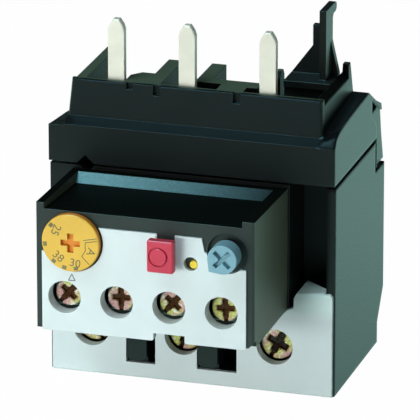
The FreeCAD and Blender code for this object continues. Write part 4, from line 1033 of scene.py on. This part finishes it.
def lamps(st):
    """Large box overhead, key from the upper left front, weaker fill from the right front, a
    low lamp and a small foot lamp in front for matt surfaces and a cold sheen overhead for
    gloss."""
    lamp("overhead", place=(-0.35, -0.42, 1.20), aim=AIM, size=0.70, power=st.top_power,
         colour=(0.86, 1.0, 1.06))
    lamp("key", place=(-0.60, -0.95, 0.70), aim=AIM, size=0.40, power=st.key_power,
         colour=(1.0, 1.0, 0.98))
    lamp("fill", place=(0.80, -0.80, 0.50), aim=AIM, size=0.50, power=st.fill_power,
         colour=(0.97, 1.0, 1.0), gloss=False)
    lamp("low", place=(-0.35, -1.20, 0.07), aim=AIM, size=0.40, power=st.low_power,
         colour=(0.96, 1.0, 0.99), gloss=False)
    lamp("foot", place=(-0.08, -0.17, 0.010), aim=FOOT_AIM, size=0.10, power=st.foot_power,
         colour=(0.96, 1.0, 0.99), gloss=False)
    lamp("sheen", place=(-0.35, -0.42, 1.19), aim=AIM, size=0.60, power=st.sheen_power,
         colour=(0.15, 1.0, 1.25), matt=False)


def surround(scene, st):
    """Dark room round a white table: dim near the horizon, brighter overhead, white to the eye."""
    world = bpy.data.worlds.new("studio_surround")
    scene.world = world
    tree = new_tree(world)
    out = tree.nodes.new("ShaderNodeOutputWorld")
    coord = tree.nodes.new("ShaderNodeTexCoord")
    upward = split_xyz(tree, coord.outputs["Generated"])["Z"]
    room = backdrop(tree, ROOM_TINT)
    tree.links.new(remap(tree, upward, ROOM_LOW, ROOM_HIGH, st.world_low, st.world_high),
                   room.inputs["Strength"])
    white = backdrop(tree, (1.0, 1.0, 1.0))
    mix = mix_shader(tree, seen_by(tree, "Is Camera Ray"), room.outputs["Background"],
                     white.outputs["Background"])
    tree.links.new(mix, out.inputs["Surface"])


def camera(scene, st):
    """Long lens, placed by its turn, its height and its distance from the foot of the front
    face."""
    a, e = st.azimuth, st.elevation
    right = Vector((math.cos(a), math.sin(a), 0.0))
    back = Vector((math.sin(a) * math.cos(e), -math.cos(a) * math.cos(e), math.sin(e)))
    up = back.cross(right)
    data = bpy.data.cameras.new("studio_camera")
    data.sensor_width = SENSOR
    data.lens = st.lens
    data.clip_start, data.clip_end = 0.1, 20.0
    obj = linked("studio_camera", data)
    turn = Matrix((right, up, back)).transposed().to_4x4()
    place = Vector(FRONT_FOOT) + right * st.right + up * st.up + back * st.distance
    obj.matrix_world = Matrix.Translation(place) @ turn
    scene.camera = obj


# ------------------------------------------------------------------ sidebar and registration

OPERATORS = (RELAY_OT_mouldings, RELAY_OT_metals, RELAY_OT_buttons, RELAY_OT_dial,
             RELAY_OT_pointer, RELAY_OT_screws, RELAY_OT_springs, RELAY_OT_stage)


class RELAY_PT_dressing(bpy.types.Panel):
    """Buttons and settings of the relay's dressing"""
    bl_idname = "RELAY_PT_dressing"
    bl_label = "Relay dressing"
    bl_space_type = "VIEW_3D"
    bl_region_type = "UI"
    bl_category = "Relay"

    def draw(self, context):
        for group in ("relay_colours", "relay_sizes", "relay_stage"):
            box = self.layout.box()
            settings = getattr(context.scene, group)
            for name in settings.__annotations__:
                box.prop(settings, name)
        for operator in OPERATORS:
            self.layout.operator(operator.bl_idname)


CLASSES = (RelayColours, RelaySizes, RelayStage) + OPERATORS + (RELAY_PT_dressing,)


def register():
    for cls in CLASSES:
        bpy.utils.register_class(cls)
    bpy.types.Scene.relay_colours = PointerProperty(type=RelayColours)
    bpy.types.Scene.relay_sizes = PointerProperty(type=RelaySizes)
    bpy.types.Scene.relay_stage = PointerProperty(type=RelayStage)


def unregister():
    for name in ("relay_colours", "relay_sizes", "relay_stage"):
        delattr(bpy.types.Scene, name)
    for cls in reversed(CLASSES):
        bpy.utils.unregister_class(cls)


def main():
    """Dresses the relay, one group at a time."""
    register()
    bpy.ops.relay.mouldings()
    bpy.ops.relay.metals()
    bpy.ops.relay.buttons()
    bpy.ops.relay.dial()
    bpy.ops.relay.pointer()
    bpy.ops.relay.screws()
    bpy.ops.relay.springs()
    bpy.ops.relay.stage()


if __name__ == "__main__":
    main()
